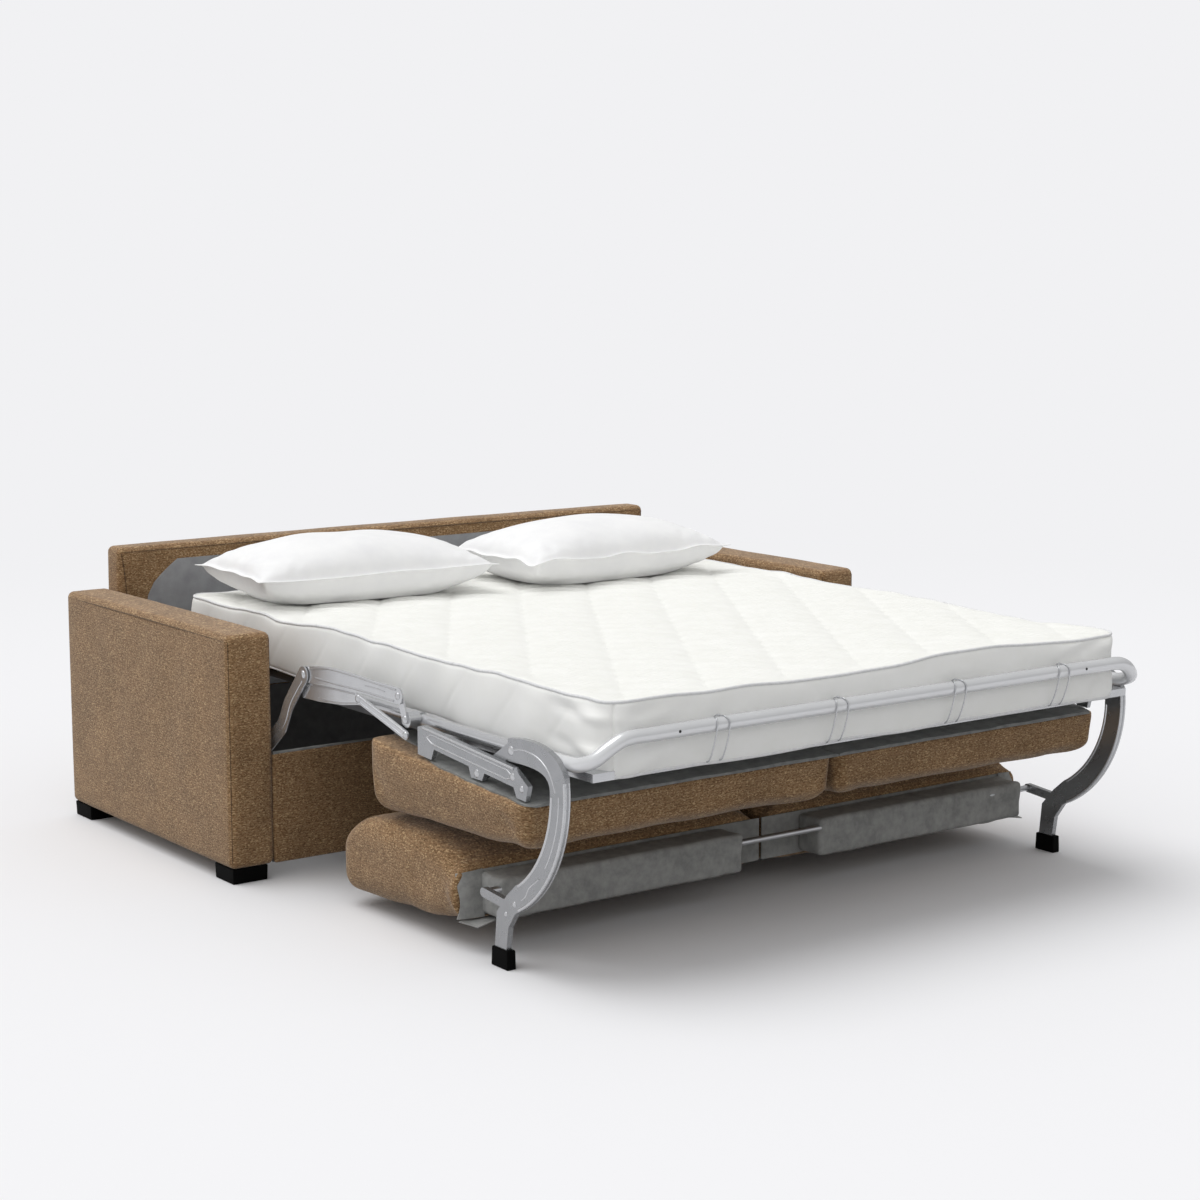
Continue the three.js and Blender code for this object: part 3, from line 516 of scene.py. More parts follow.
LINING_TOP, LINING_THICK, PANEL_TOP = 718, 6, 324
LINING_SLANT = ([PANEL_TOP, 500, 616, 660, LINING_TOP], [850, 850, 839, 818, 745])
heights = np.linspace(PANEL_TOP, LINING_TOP, 26)
points, faces = box_skin(np.linspace(-1, 1, 49), [0, LINING_THICK - 1], heights)
half = np.interp(points[:, 2], *LINING_SLANT)
points[:, 0] *= half + 2.5 * ripple(points * [0, 0, 1], 60, 5)
points[:, 1] += BACK_FACE - LINING_THICK + 0.6 * ripple(points, 120, 8)
add_piece("back_lining_felt", (points, faces), pale_felt, "carcass", "lining", "back_lining")

# %% [markdown]
# ### The well below the bed
# The panel under the seat closes the front of the well that the folded bed goes into. It is covered on the
# front, has a grey felt lip along its top edge, and is lined inside, like the lower half of the back, with
# dark felt whose darkness is painted shade for the shaded well. The well has no bottom, because the head of
# the folded mattress hangs down almost to the floor.

# %% Front panel, lip and a dark lining of painted shade
PANEL_Y = (2, 20)
skin = swollen_box((-BACK_REACH, PANEL_Y[0], FOOT_TOP), (BACK_REACH, PANEL_Y[1] - 3, PANEL_TOP), 7, 30, 2, 17)
add_piece("front_panel_cover", skin, cover_cloth, "carcass", "upholstery", "front_panel", sharp=180)
LIP_LEVEL, LIP_RADIUS = PANEL_TOP - 1, 6.5
lip = smooth_path([(-BACK_REACH + 3, 12, LIP_LEVEL), (-300, 11, LIP_LEVEL - 0.5), (300, 12, LIP_LEVEL),
                   (BACK_REACH - 3, 12, LIP_LEVEL)], 30)
add_piece("front_panel_lip", tube(lip, LIP_RADIUS, 12), smoke_felt, "carcass", "lining")
# The dark lining inside the front panel and on the lower back paints the shade in the well.
heights = np.linspace(FOOT_TOP, PANEL_TOP - 4, 8)
layers = [(BACK_REACH, PANEL_Y[1] - 3, PANEL_Y[1]), (BACK_REACH - 3, BACK_FACE - 7, BACK_FACE - 1)]
inside = [box_skin(np.linspace(-half, half, 20), ys, heights) for half, *ys in layers]
add_piece("well_shade_lining", joined(inside), well_shade_felt, "carcass", "lining")

# %% Feet
def moulded_block(name, cad_name, body, radius, step, taper, level):
    """A rounded block in place of a CAD box. It keeps its width at a level, given as a share of its height,
    and is wider below that, or narrower if the taper is less than 0."""
    low, high = cad_box(cad_name)
    points, faces = soft_box(low, high, radius, step)
    up = (points[:, 2:] - low[2]) / (high[2] - low[2])
    points[:, :2] += (points[:, :2] - (low + high)[:2] / 2) * taper * (level - up)
    add_piece(name, (points, faces), black_plastic, body, "plastic", cad_name, sharp=180)


for name in ("left_front_foot", "left_rear_foot", "right_front_foot", "right_rear_foot"):
    moulded_block(f"{name}_block", name, "carcass", 2.5, 24, -0.03, 1)

# %% [markdown]
# ## The mattress
# A sofa-bed mattress is foam in a knitted cover, and it is quilted: stitching holds the cover down along
# diagonal lines about 190 mm apart, and the cover puffs up between them. Round its top and bottom edge runs
# a piped seam that is never quite straight. The three sections share one formula in the sofa's own measure,
# so that lines and waves run on across the folds. The squares are 8 mm wide, enough for the creases.

# %% The mattress's shape
MATTRESS_HALF, MATTRESS_TOP, MATTRESS_LOW = 800, 640, 490
MATTRESS_FOOT, FOOT_FOLD, HEAD_FOLD, MATTRESS_HEAD = -1270, -650, -10, 715
RIM, CORNER = 14, 55
QUILT_SLOPE, QUILT_PITCH, QUILT_START, QUILT_FRONT = 0.657, 230, -730, -1230
SCALLOP, SCALLOP_DEEP = 76, 9
BOW_LEVEL = 566


def round_corners(points):
    """Turns the square corners of the mattress's plan into round ones."""
    for end, inward in ((MATTRESS_FOOT, 1), (MATTRESS_HEAD, -1)):
        out_x = np.abs(points[:, 0]) - (MATTRESS_HALF - CORNER)
        out_y = (end + inward * CORNER - points[:, 1]) * inward
        near = (out_x > 0) & (out_y > 0)
        scale = np.maximum(out_x, out_y)[near] / np.hypot(out_x, out_y)[near]
        points[near, 0] = np.sign(points[near, 0]) * (MATTRESS_HALF - CORNER + out_x[near] * scale)
        points[near, 1] = end + inward * (CORNER - out_y[near] * scale)
    return points


def quilt(x, y):
    """How far the cover is puffed up at a place on top: 0 on the stitched lines, 1 between them. The second
    value is the small wave along each band."""
    drift = x - QUILT_SLOPE * (y - QUILT_FRONT) - QUILT_START
    lean = math.hypot(1, QUILT_SLOPE)
    along = (y + QUILT_SLOPE * x) / lean
    scallop = SCALLOP_DEEP * np.abs(np.sin(along * math.pi / SCALLOP))
    bands = (drift / lean + scallop) / (QUILT_PITCH / lean)
    dome = np.clip(np.sin(math.pi * (bands % 1)), 0, 1)
    return dome**0.35, np.sin(along * math.tau / SCALLOP + np.floor(bands) * math.pi) * dome


def mattress_shape(points):
    points = round_corners(points)
    x, y, z = points.T
    from_side, from_end = MATTRESS_HALF - np.abs(x), np.minimum(y - MATTRESS_FOOT, MATTRESS_HEAD - y)
    edge = np.minimum(from_side, from_end)
    in_corner = (from_side < CORNER) & (from_end < CORNER)
    edge = np.where(in_corner, CORNER - np.hypot(CORNER - from_side, CORNER - from_end), edge)
    height = (z - MATTRESS_LOW) / (MATTRESS_TOP - MATTRESS_LOW)
    inland = smooth_step(edge, 4, 60)
    puff, rib = quilt(x, y)
    top = smooth_step(height, 0.8, 0.97)
    flat = points * [1, 1, 0]
    wave = 5.6 * ripple(flat, 430, 21) + 1.8 * ripple(flat, 140, 22)
    # the top is puffed up between the stitches, and waves along its edge
    lift = top * (inland * (9 * puff + 3 * rib - 8.8) + np.exp(-edge / 70) * wave)
    # the underside waves too, and at the foot its cover hangs down between the wires
    under = (1 - smooth_step(height, 0.03, 0.2)) * np.exp(-edge / 45) * (3.2 + 3 * ripple(flat, 330, 31))
    skirt = smooth_step(edge, 15, 9) * smooth_step(y, MATTRESS_FOOT + 120, MATTRESS_FOOT + 40)
    skirt *= 1 - smooth_step(height, 0, 0.25)
    under = under - skirt * (20 + 2.5 * ripple(flat, 400, 33))
    border = smooth_step(edge, 30, 0)
    # the sides bulge and crease, except where the bow presses on the foot
    belly = np.sin(math.pi * np.clip(height, 0, 1)) ** 0.8
    at_foot = smooth_step(y, MATTRESS_FOOT + 75, MATTRESS_FOOT + 5)
    free_of_bow = smooth_step(np.abs(z - BOW_LEVEL), 16, 44)
    folds = 0.5 + 0.5 * ripple(points * [0.4, 1, 0.45], 130, 41)
    side_swell = belly * (3 + 7 * folds) * (1 - at_foot) + belly * at_foot * free_of_bow * (3 + 4 * folds)
    crease = np.abs((x + y + 0.9 * z) % 210 - 105) / 105
    side_swell -= 1.6 * belly * np.exp(-(crease * 105 / 7) ** 2) * (1 - at_foot * (1 - free_of_bow))
    corner = np.exp(-(np.hypot(np.abs(x) - MATTRESS_HALF, y - MATTRESS_FOOT) / 190) ** 2)
    side_swell += corner * belly * 13 * ripple(points * [0.5, 0.35, 1], 62, 43) * free_of_bow
    out_x = border * side_swell * np.sign(x) * smooth_step(from_side, 30, 0)
    at_ends = smooth_step(MATTRESS_HEAD - y, 30, 0) - smooth_step(y - MATTRESS_FOOT, 30, 0)
    out_y = border * side_swell * at_ends
    return points + np.stack([out_x, out_y, lift + under], 1)


# %% Sections and their piping
PIPE, PIPE_INSET, FOLD_GAP = 3.8, 3.2, 0.02
QUILT_GRID, FOAM_FILL = 8, 0.75
sections = {
    "foot": (MATTRESS_FOOT, FOOT_FOLD - FOLD_GAP, ("y+",), "y-"),
    "middle": (FOOT_FOLD + FOLD_GAP, HEAD_FOLD - FOLD_GAP, ("y-", "y+"), None),
    "head": (HEAD_FOLD + FOLD_GAP, MATTRESS_HEAD, ("y-",), "y+"),
}


def plan_path(start, end, free):
    """The edge of one section seen from above, round its free end."""
    half = MATTRESS_HALF - PIPE_INSET
    if free == "y-":
        start, end = end, start + PIPE_INSET
    elif free == "y+":
        end = end - PIPE_INSET
    count = int(abs(end - start) / 14)
    run = np.linspace(start, end, count)
    left = np.stack([np.full(count, -half), run], 1)
    right = left[::-1] * [-1, 1]
    if free is None:
        return [left, right]
    across = np.linspace(-half, half, 116)[1:-1]
    return [np.concatenate([left, np.stack([across, np.full(len(across), end)], 1), right])]


mattress = {}
for name, (start, end, folds, free) in sections.items():
    low, high = (-MATTRESS_HALF, start, MATTRESS_LOW), (MATTRESS_HALF, end, MATTRESS_TOP)
    points, faces = soft_box(low, high, RIM, QUILT_GRID, folds)
    piece = mesh_object(f"mattress_{name}_cover", mattress_shape(points), faces, ticking, 55)
    piece.data.materials.append(border_ticking)
    for polygon in piece.data.polygons:
        polygon.material_index = int(abs(polygon.normal.z) < 0.6)
    cords = []
    for level in (MATTRESS_TOP - PIPE_INSET, MATTRESS_LOW + PIPE_INSET + 1):
        for path in plan_path(start, end, free):
            line = np.concatenate([path, np.full((len(path), 1), level)], 1)
            cords.append(tube(mattress_shape(line), PIPE, 8))
    cord = mesh_object(f"mattress_{name}_piping", *joined(cords), piping_cord, 180)
    mattress[name] = (piece, cord)
    attach(piece, f"{name}_section", "ticking", f"mattress_{name}")
    attach(cord, f"{name}_section", "ticking")
    print(name, "section:", len(points), "points")

# %% [markdown]
# ## The bow at the foot of the bed
# A bent tube holds the foot of the mattress, and wire stirrups are wound over it. Its CAD form is thinner
# and has few sides, so a smoother, slightly thicker tube follows the same path. The wires come up from the
# frame under the mattress, go round the front of the tube and meet in a small twist on top.

# %% Bow and wires
RAIL_X, RAIL_LEVEL, RAIL_END = 855.3, 504, -985
BOW_FRONT, BOW_SIDE, BOW_CORNER, BOW_RADIUS = -1287, -1195, 770.3, 16.5
BOW_TURN = [(0.98, 0.35, 0.05), (0.86, 0.78, 0.3), (0.5, 0.96, 0.72), (0.12, 1, 0.96)]
half = [(-BOW_CORNER - (RAIL_X - BOW_CORNER) * out, BOW_SIDE + (BOW_FRONT - BOW_SIDE) * ahead,
         RAIL_LEVEL + (BOW_LEVEL - RAIL_LEVEL) * up) for out, ahead, up in BOW_TURN]
left_half = [(-RAIL_X, RAIL_END - 0.3, RAIL_LEVEL), (-RAIL_X, BOW_SIDE, RAIL_LEVEL), *half,
             (-BOW_CORNER * 0.9, BOW_FRONT, BOW_LEVEL)]
bow_line = left_half + [(0, BOW_FRONT, BOW_LEVEL)] + [(-x, y, z) for x, y, z in reversed(left_half)]
bow = tube(smooth_path(bow_line, 14), BOW_RADIUS, 28)
add_piece("foot_bow_tube", bow, bow_lightened_coat, "foot_section", "steel", "foot_bow")

STIRRUPS = (-0.65, -0.2125, 0.25625, 0.7)
WIRE, LEG_APART = 1.7, 18
around = BOW_RADIUS + WIRE + 0.4
for number, share in enumerate(STIRRUPS, 1):
    x = MATTRESS_HALF * share
    wires = []
    for way in (-1, 1):
        leg = x + way * LEG_APART
        path = [(leg, MATTRESS_FOOT + 12, 480), (leg, MATTRESS_FOOT - 6, 483)]
        for angle in (185, 150, 115, 85):
            cos, sin = math.cos(math.radians(angle)), math.sin(math.radians(angle))
            path.append((x + way * LEG_APART * (0.55 + 0.45 * abs(cos)), BOW_FRONT + around * cos,
                         BOW_LEVEL + around * sin))
        path += [(x + way * 3, BOW_FRONT + 4, BOW_LEVEL + around + 1),
                 (x - way * 2.4, BOW_FRONT + 1, BOW_LEVEL + around + 3.2)]
        wires.append(tube(smooth_path(path, 8), WIRE, 8))
    add_piece(f"stirrup_wire_{number}", joined(wires), bright_steel, "foot_section", "steel",
              f"wire_stirrup_{number}")

# %% [markdown]
# ## Pressed steel details
# Flat bars bend easily, so the maker rolls their edges over and presses long ribs into them. A plain CAD
# plate lacks that, and it reads as cardboard. Each rib here is half of a tube sunk into the plate's outer
# face, riding on the same body; rivets are flat domes at the joints.

# %% Ribs and rivets on both sides
ARM_PLATE, LOW_PLATE, CHANNEL_FACE, LEG_FACE, ROCKER_FACE = 908.5, 903.9, 897.5, 884.9, 914.9
LEG_PIVOT, LEG_ARC = (-893, 434), (325, 268)


def arc(radius, start, end, count=14):
    turns = np.radians(np.linspace(start, end, count))
    return (LEG_PIVOT + radius * np.stack([np.cos(turns), np.sin(turns)], 1)).tolist()


def rib(side, face, places, radius, sunk, steps=10):
    """Half a tube along a plate whose face is at x = face. No steps: a closed loop of straight runs."""
    path = [(side * (face - sunk), y, z) for y, z in places]
    if steps is None:
        return tube(path, radius, 10, closed=True)
    return tube(smooth_path(path, steps), radius, 10)


HEXAGON = [(-684, 482), (-704, 491), (-1014, 464), (-1038, 452), (-1012, 443), (-706, 470)]
loop = []
for a, b in zip(HEXAGON, HEXAGON[1:] + HEXAGON[:1]):
    loop += [tuple(np.add(a, np.subtract(b, a) * t)) for t in (0.04, 0.3, 0.7, 0.96)]
OUTER_RIM, INNER_RIM = arc(LEG_ARC[0] - 4, 174, 243), arc(LEG_ARC[1] + 4, 181, 238)
LINK = [(-395, 529), (-609, 475)]

# For each piece: its body and the face of its plate, then ribs as places, radius, sunk and steps, then
# rivets as y, z, radius and height, and another plate if the rivet isn't on that one.
pressed = {
    "leg_ribs": ("backrest", LEG_FACE,
                 [(OUTER_RIM, 4.5, 2.2, 4), (INNER_RIM, 4.5, 2.2, 4), (arc(300, 180, 214, 8), 2.2, 0.9, 4),
                  ([(-1010, 506), (-1060, 514), (-1120, 505), (-1160, 478), (-1182, 440)], 2.4, 1),
                  ([(-1118, 236), (-1078, 206), (-1066, 186), (-1050, 174)], 2, 0.8)],
                 [(-1012, 505, 11, 3), (-1022, 158, 7, 2.4), (-988, 128, 6, 2.2)]),
    "leg_inner_ribs": ("backrest", LEG_FACE - 14, [(OUTER_RIM, 4.5, -2.2, 4), (INNER_RIM, 4.5, -2.2, 4)], []),
    "channel_ribs": ("seat", CHANNEL_FACE,
                     [(loop, 2.2, 0.8, None), ([(-668, 501), (-800, 490.5), (-1040, 470.5)], 3.4, 1.2)],
                     [(-1072, 431, 8, 3), (-1036, 452, 9, 2.6), (*LEG_PIVOT, 10, 2.6)]),
    "arm_ribs": ("middle_section", ARM_PLATE,
                 [([(-160, 566), (-245, 580), (-358, 582), (-470, 579), (-570, 577)], 3, 1.4),
                  ([(-190, 548), (-300, 549), (-434, 551), (-560, 549)], 3, 1.4),
                  ([(-430, 566), (-480, 567), (-520, 565)], 2, 0.8)],
                 [(-577, 563, 9, 4), (-395, 529, 10, 4)]),
    "low_ribs": ("middle_section", LOW_PLATE,
                 [([(-130, 520), (-240, 531), (-372, 536)], 2.4, 1.1),
                  ([(-210, 495), (-320, 505), (-384, 515)], 2.4, 1.1)], []),
    "link_ribs": ("middle_section", ARM_PLATE,
                  [([(y + way * 2, z - way * 6) for y, z in LINK], 1.8, 0.6, 8) for way in (1, -1)],
                  [(-609, 475, 9, 4), (-600, 510, 10, 4, LOW_PLATE)]),
    "rocker_ribs": ("rocker", ROCKER_FACE,
                    [([(-134, 532), (-76, 470), (-40, 408), (30, 358), (150, 292)], 2.4, 1)],
                    [(-140, 550, 11, 4)]),
}
for name, side in sides.items():
    for piece, (body, face, ribs, rivets) in pressed.items():
        parts = [rib(side, face, *shape) for shape in ribs]
        for y, z, radius, height, *plate in rivets:
            parts.append(rivet(side * (plate or [face])[0], y, z, radius, side * height))
        add_piece(f"{name}_{piece}", joined(parts), silver_paint, body, "steel")

# %% Holes in the tubes, drawn as dark discs of painted shade
HOLE_X, HOLE_RADIUS = 640, 3.4
for number, x in enumerate((-HOLE_X, HOLE_X), 1):
    face = BOW_FRONT - BOW_RADIUS
    hole = tube([(x, face - 0.3, BOW_LEVEL + 1), (x, face + 2, BOW_LEVEL + 1)], HOLE_RADIUS, 14)
    add_piece(f"bow_hole_{number}", hole, hole_shade_paint, "foot_section", "steel")

# %% [markdown]
# ## Cushions that are blown up
# A seat or back cushion is foam in a tight cover: it bulges between its seams and is held flat on the side
# that is fixed to the mechanism. Cloth simulation gives that bulge. The mesh starts a little too thin, air
# pressure swells it for twenty frames, the held side stays where it is, and no point may move more than a
# few millimetres, so that every cushion stays clear of its neighbours.

# %% Cushion shapes before they swell
CUSHION_REACH, SPLIT, SWELL_ROOM = 915, 1.5, 4
GRID = 24


def profile_cushion(name, side, ys, under, over, height, radius, flat_end, held):
    """A cushion whose side view lies between two curves. held(points) says which points don't swell."""
    low, high = (SPLIT + SWELL_ROOM, ys[0], 0), (CUSHION_REACH - SWELL_ROOM, ys[1], height)
    points, faces = soft_box(low, high, radius, GRID, (flat_end,))
    fixed = held(points)
    bottom, top = np.interp(points[:, 1], *under), np.interp(points[:, 1], *over)
    points[:, 2] = bottom + (top - bottom) * points[:, 2] / height
    points, faces = mirrored(points, faces, side)
    points += np.where(fixed, 0, 1.3 * ripple(points, 190, 51))[:, None] * [0.3, 0.6, 1]
    piece = mesh_object(name, points, faces, cover_cloth, 180)
    piece.vertex_groups.new(name="held").add(np.flatnonzero(fixed).tolist(), 1.0, "REPLACE")
    return piece


SEAT_FRONT, SEAT_REAR = -1105, -430
seat_under = ([SEAT_FRONT, -900, SEAT_REAR], [297, 283, 268])
seat_over = ([SEAT_FRONT, SEAT_REAR], [395.7, 441.7])
BACK_FRONT, BACK_REAR = -815, -277
back_under = ([BACK_FRONT, -720, -640, -480, -320, BACK_REAR], [76, 62, 54, 42, 38, 52])
back_over = ([BACK_FRONT, -740, -650, -470, -360, BACK_REAR], [193, 226, 243, 245, 226, 172])
cushions = {}
for name, side in sides.items():
    cushions[f"{name}_seat"] = profile_cushion(
        f"{name}_seat_cushion_cover", side, (SEAT_FRONT + 3, SEAT_REAR - 3), seat_under, seat_over, 140, 38,
        "z+", lambda points: points[:, 2] > 130)
    cushions[f"{name}_back"] = profile_cushion(
        f"{name}_back_cushion_cover", side, (BACK_FRONT, BACK_REAR - 4), back_under, back_over, 150, 44,
        "y-", lambda points: points[:, 1] < BACK_FRONT + 12)

# %% [markdown]
# ### Pillows
# A pillow is two sheets sewn round the edge and stuffed: fat in the middle, thin at the seam, with sides
# that pull in between pointed corners. The seam is a flat flange here, which waves because the cloth is
# gathered by the stuffing. The underside is flat where it lies on the mattress.

# %% Pillow shapes
PILLOW_WIDE, PILLOW_DEEP, PILLOW_HIGH, PILLOW_SEAM, PILLOW_PULL = 730, 450, 172, 76, 22
PILLOW_REST = 640.3
FLANGE = 0.955
pillow_places = {"left": ((-432, 461), -5, 61), "right": ((336, 372), 2, 71)}


def pillow_sheet(u, v, up, seed):
    pull_u, pull_v = PILLOW_PULL * (1 - v**2), PILLOW_PULL * (1 - u**2)
    x, y = u * (PILLOW_WIDE / 2 - pull_u), v * (PILLOW_DEEP / 2 - pull_v)
    full_u, full_v = [1 - np.clip(np.abs(way) / FLANGE, 0, 1) ** 2.3 for way in (u, v)]
    full = (full_u * full_v) ** 0.5
    flat = np.stack([x, y, 0 * x], -1).reshape(-1, 3)
    lump = ripple(flat, 260, seed).reshape(x.shape)
    pucker = ripple(flat, 46, seed + 1).reshape(x.shape)
    wave = 4.5 * ripple(flat, 150, seed + 2).reshape(x.shape) * (1 - smooth_step(full, 0, 0.45))
    near_seam = smooth_step(full, 0.05, 0.3) * (1 - smooth_step(full, 0.35, 0.75))
    if up:
        rise = PILLOW_HIGH - PILLOW_SEAM - 7
        z = PILLOW_SEAM + rise * full * (1 + 0.04 * lump) + 2.2 * near_seam * pucker
    else:
        z = PILLOW_SEAM * (1 - np.clip(full / 0.66, 0, 1) ** 0.62) + 1.5 * near_seam * pucker * (full < 0.7)
    thickness = 1.1 if up else -1.1
    return np.stack([x, y, np.maximum(z + wave + thickness * (1 - full), 0)], -1)


def pillow(name, spot, turn, seed):
    closer = math.pi / 2 * 0.93
    rows = [np.sin(np.linspace(-1, 1, count) * closer) / math.sin(closer) for count in (61, 41)]
    u, v = np.meshgrid(*rows, indexing="ij")
    points = np.concatenate([pillow_sheet(u, v, up, seed).reshape(-1, 3) for up in (True, False)])
    grids = np.arange(2 * u.size).reshape(2, *u.shape)
    upper, lower = [np.concatenate([g[:-1, 0], g[-1, :-1], g[:0:-1, -1], g[0, :0:-1]]) for g in grids]
    faces = grid_faces(grids[0], False) + grid_faces(grids[1], True)
    faces += np.stack([np.roll(upper, -1), upper, lower, np.roll(lower, -1)], 1).tolist()
    lying = points[:, 2] < 2
    cos, sin = math.cos(math.radians(turn)), math.sin(math.radians(turn))
    points = points @ [[cos, sin, 0], [-sin, cos, 0], [0, 0, 1]] + [*spot, PILLOW_REST]
    piece = mesh_object(name, points, faces, cotton, 180)
    piece.vertex_groups.new(name="held").add(np.flatnonzero(lying).tolist(), 1.0, "REPLACE")
    return piece


for name, (spot, turn, seed) in pillow_places.items():
    cushions[f"{name}_pillow"] = pillow(f"{name}_pillow_cover", spot, turn, seed)
print([(name, len(piece.data.vertices)) for name, piece in cushions.items()])


# %% Swell them together
FRAMES, PRESSURE = 20, 4
CAP = {"seat": 9, "back": 9, "pillow": 7}


def coordinates(mesh):
    flat = np.zeros(len(mesh.vertices) * 3)
    mesh.vertices.foreach_get("co", flat)
    return flat.reshape(-1, 3)


def settle(piece):
    """Adds one subdivision and keeps its result as the mesh."""
    piece.modifiers.new("finer", "SUBSURF").levels = 1
    depsgraph = bpy.context.evaluated_depsgraph_get()
    mesh = bpy.data.meshes.new_from_object(piece.evaluated_get(depsgraph))
    piece.modifiers.clear()
    piece.data = mesh


def inflate(pieces):
    for piece in pieces.values():
        swell = piece.modifiers.new("swell", "CLOTH")
        air = swell.settings
        air.quality, air.mass, air.effector_weights.gravity = 4, 0.3, 0
        air.use_pressure, air.uniform_pressure_force = True, PRESSURE
        air.vertex_group_mass = "held"
        swell.point_cache.frame_end = FRAMES
    for number in range(1, FRAMES + 1):
        scene.frame_set(number)
    depsgraph = bpy.context.evaluated_depsgraph_get()
    moved = {name: coordinates(piece.evaluated_get(depsgraph).data) for name, piece in pieces.items()}
    for name, piece in pieces.items():
        start = coordinates(piece.data)
        move = moved[name] - start
        length = np.linalg.norm(move, axis=1, keepdims=True)
        cap = CAP[name.split("_")[1]] * MM
        move *= cap * np.tanh(length / cap) / np.maximum(length, 1e-9)
        piece.modifiers.clear()
        piece.data.vertices.foreach_set("co", (start + move).ravel())
        piece.data.update()
        print(name, "swelled by up to", round(float(np.linalg.norm(move, axis=1).max()) / MM, 1), "mm")
    scene.frame_set(1)


inflate(cushions)
for piece in cushions.values():
    settle(piece)
for name in sides:
    for kind, cad_name, body, slot, fill in (("seat", "seat_cushion", "seat", "upholstery", 0.9),
                                             ("back", "back_cushion", "backrest", "upholstery", 0.85),
                                             ("pillow", "pillow", "head_section", "linen", 0.7)):
        attach(cushions[f"{name}_{kind}"], body, slot, f"{name}_{cad_name}")

# %% [markdown]
# ### Grey felt on the cushions
# The side of a cushion that is fixed to the mechanism is covered with felt, sewn a little inside the edge,
# so a strip of chenille shows round it. The pads on the back cushions are foam in loose felt sleeves, with
# the cross tube running through them, and a loose wing of felt is stapled to the end of each cushion.

# %% Felt on the seat cushions
FELT_EDGE = ([-1110, -1098, -1060, -800, -700, -640, -575, -500, -440],
             [872, 893, 902, 903, 900, 878, 850, 845, 838])
FELT_THICK = 8
for name, side in sides.items():
    points, faces = box_skin(np.linspace(0, 1, 46), np.linspace(SEAT_FRONT - 1, SEAT_REAR - 12, 36), [0, 1])
    reach = np.interp(points[:, 1], *FELT_EDGE) + 3 * ripple(points * [0, 1, 0], 90, 81 + side)
    share = points[:, 0].copy()
    top = np.interp(points[:, 1], [SEAT_FRONT, SEAT_REAR], [403, 449])
    points[:, 0] = SPLIT + share * (reach - SPLIT)
    skin = mirrored(points, faces, side)
    rim = np.minimum(1 - share, share) < 0.02
    wavy = 1.1 * ripple(points * [1, 1, 0], 110, 83)
    points[:, 2] = top - FELT_THICK * (1 - points[:, 2]) + points[:, 2] * (wavy - np.where(rim, 2.5, 0) - 1)
    at_front = np.abs(points[:, 1] - SEAT_FRONT) < 3
    points[:, 1] += np.where(at_front, 2 * ripple(points * [1, 0, 0], 160, 85), 0)
    add_piece(f"{name}_seat_felt", skin, smoke_felt, "seat", "lining", f"{name}_seat_board", sharp=60)

# %% Pads, felt behind them and the wings
PAD_IN, PAD_OUT, PAD_FRONT, PAD_LOW, PAD_TOP = 125, 840, -906, 85, 183
WING_OUT, FELT_THIN = 903, 2.2
for name, side in sides.items():
    pad, pad_faces = soft_box((PAD_IN, PAD_FRONT, PAD_LOW), (PAD_OUT, BACK_FRONT - 1, PAD_TOP), 11, 16)
    end = np.exp(-np.minimum(pad[:, 0] - PAD_IN, PAD_OUT - pad[:, 0]) / 60)
    out = smooth_step(pad[:, 1], -860, PAD_FRONT)
    creases = ripple(pad * [1, 0.5, 0.4], 38, 91) * end * 3 + 1.6 * ripple(pad, 190, 92)
    pad[:, 1] -= out * (creases - 1)
    pad[:, 2] += smooth_step(pad[:, 2], 150, PAD_TOP) * (creases * 0.7 - 1.5)
    pad[:, 1] -= 2.5 * np.exp(-((pad[:, 2] - 150) / 9) ** 2) * out
    behind = box_skin(np.linspace(SPLIT + 3, PAD_OUT + 8, 40), [-818.6, -815.4],
                      np.linspace(PAD_LOW - 6, PAD_TOP + 4, 8))
    wing, wing_faces = box_skin(np.linspace(0, 1, 12), [0, FELT_THIN], np.linspace(0, 1, 14))
    share, level = wing[:, 0].copy(), wing[:, 2].copy()
    reach = WING_OUT - 8 * level**2 - 5 * np.sin(level * 5)
    wing[:, 0] = PAD_OUT - 4 + share * (reach - PAD_OUT + 4)
    wing[:, 2] = 78 + level * (112 - 6 * share)
    curl = 9 * share**2 * np.sin(level * 3.6 + 0.3) + 7 * (1 - share) * (1 - level)
    wing[:, 1] = -822 - curl + wing[:, 1] + 22 * share**3 * 0.4
    flap, flap_faces = box_skin(np.linspace(0, 1, 14), np.linspace(0, 1, 8), [0, FELT_THIN])
    share, level = flap[:, 0].copy(), flap[:, 1].copy()
    flap[:, 0] = 700 + share * (196 - 14 * level)
    flap[:, 1] = -812 - 52 * level - 6 * share * level
    flap[:, 2] += 70 - 4 * np.sin(share * 7) * level + 8 * level * (1 - share)
    skin = mirrored(*joined([(pad, pad_faces), behind, (wing, wing_faces), (flap, flap_faces)]), side)
    sleeve = add_piece(f"{name}_back_pad_felt", skin, grey_felt, "backrest", "lining", f"{name}_back_pad",
                       sharp=60)

# %% Leg caps
for name in sides:
    moulded_block(f"{name}_cap", f"{name}_leg_cap", "backrest", 3, 8, 0.05, 0.4)

# %% [markdown]
# ## What gives way when the bed is folded
# The mattress and the pillows are softer than any hinge: as the head section tilts down into the well they
# are pressed flat. Here the head section's mattress pieces and the pillows are only given meshes of their
# own.

# %% Meshes of their own
for piece in mattress["head"]:
    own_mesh(piece)
for name in sides:
    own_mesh(cushions[f"{name}_pillow"])

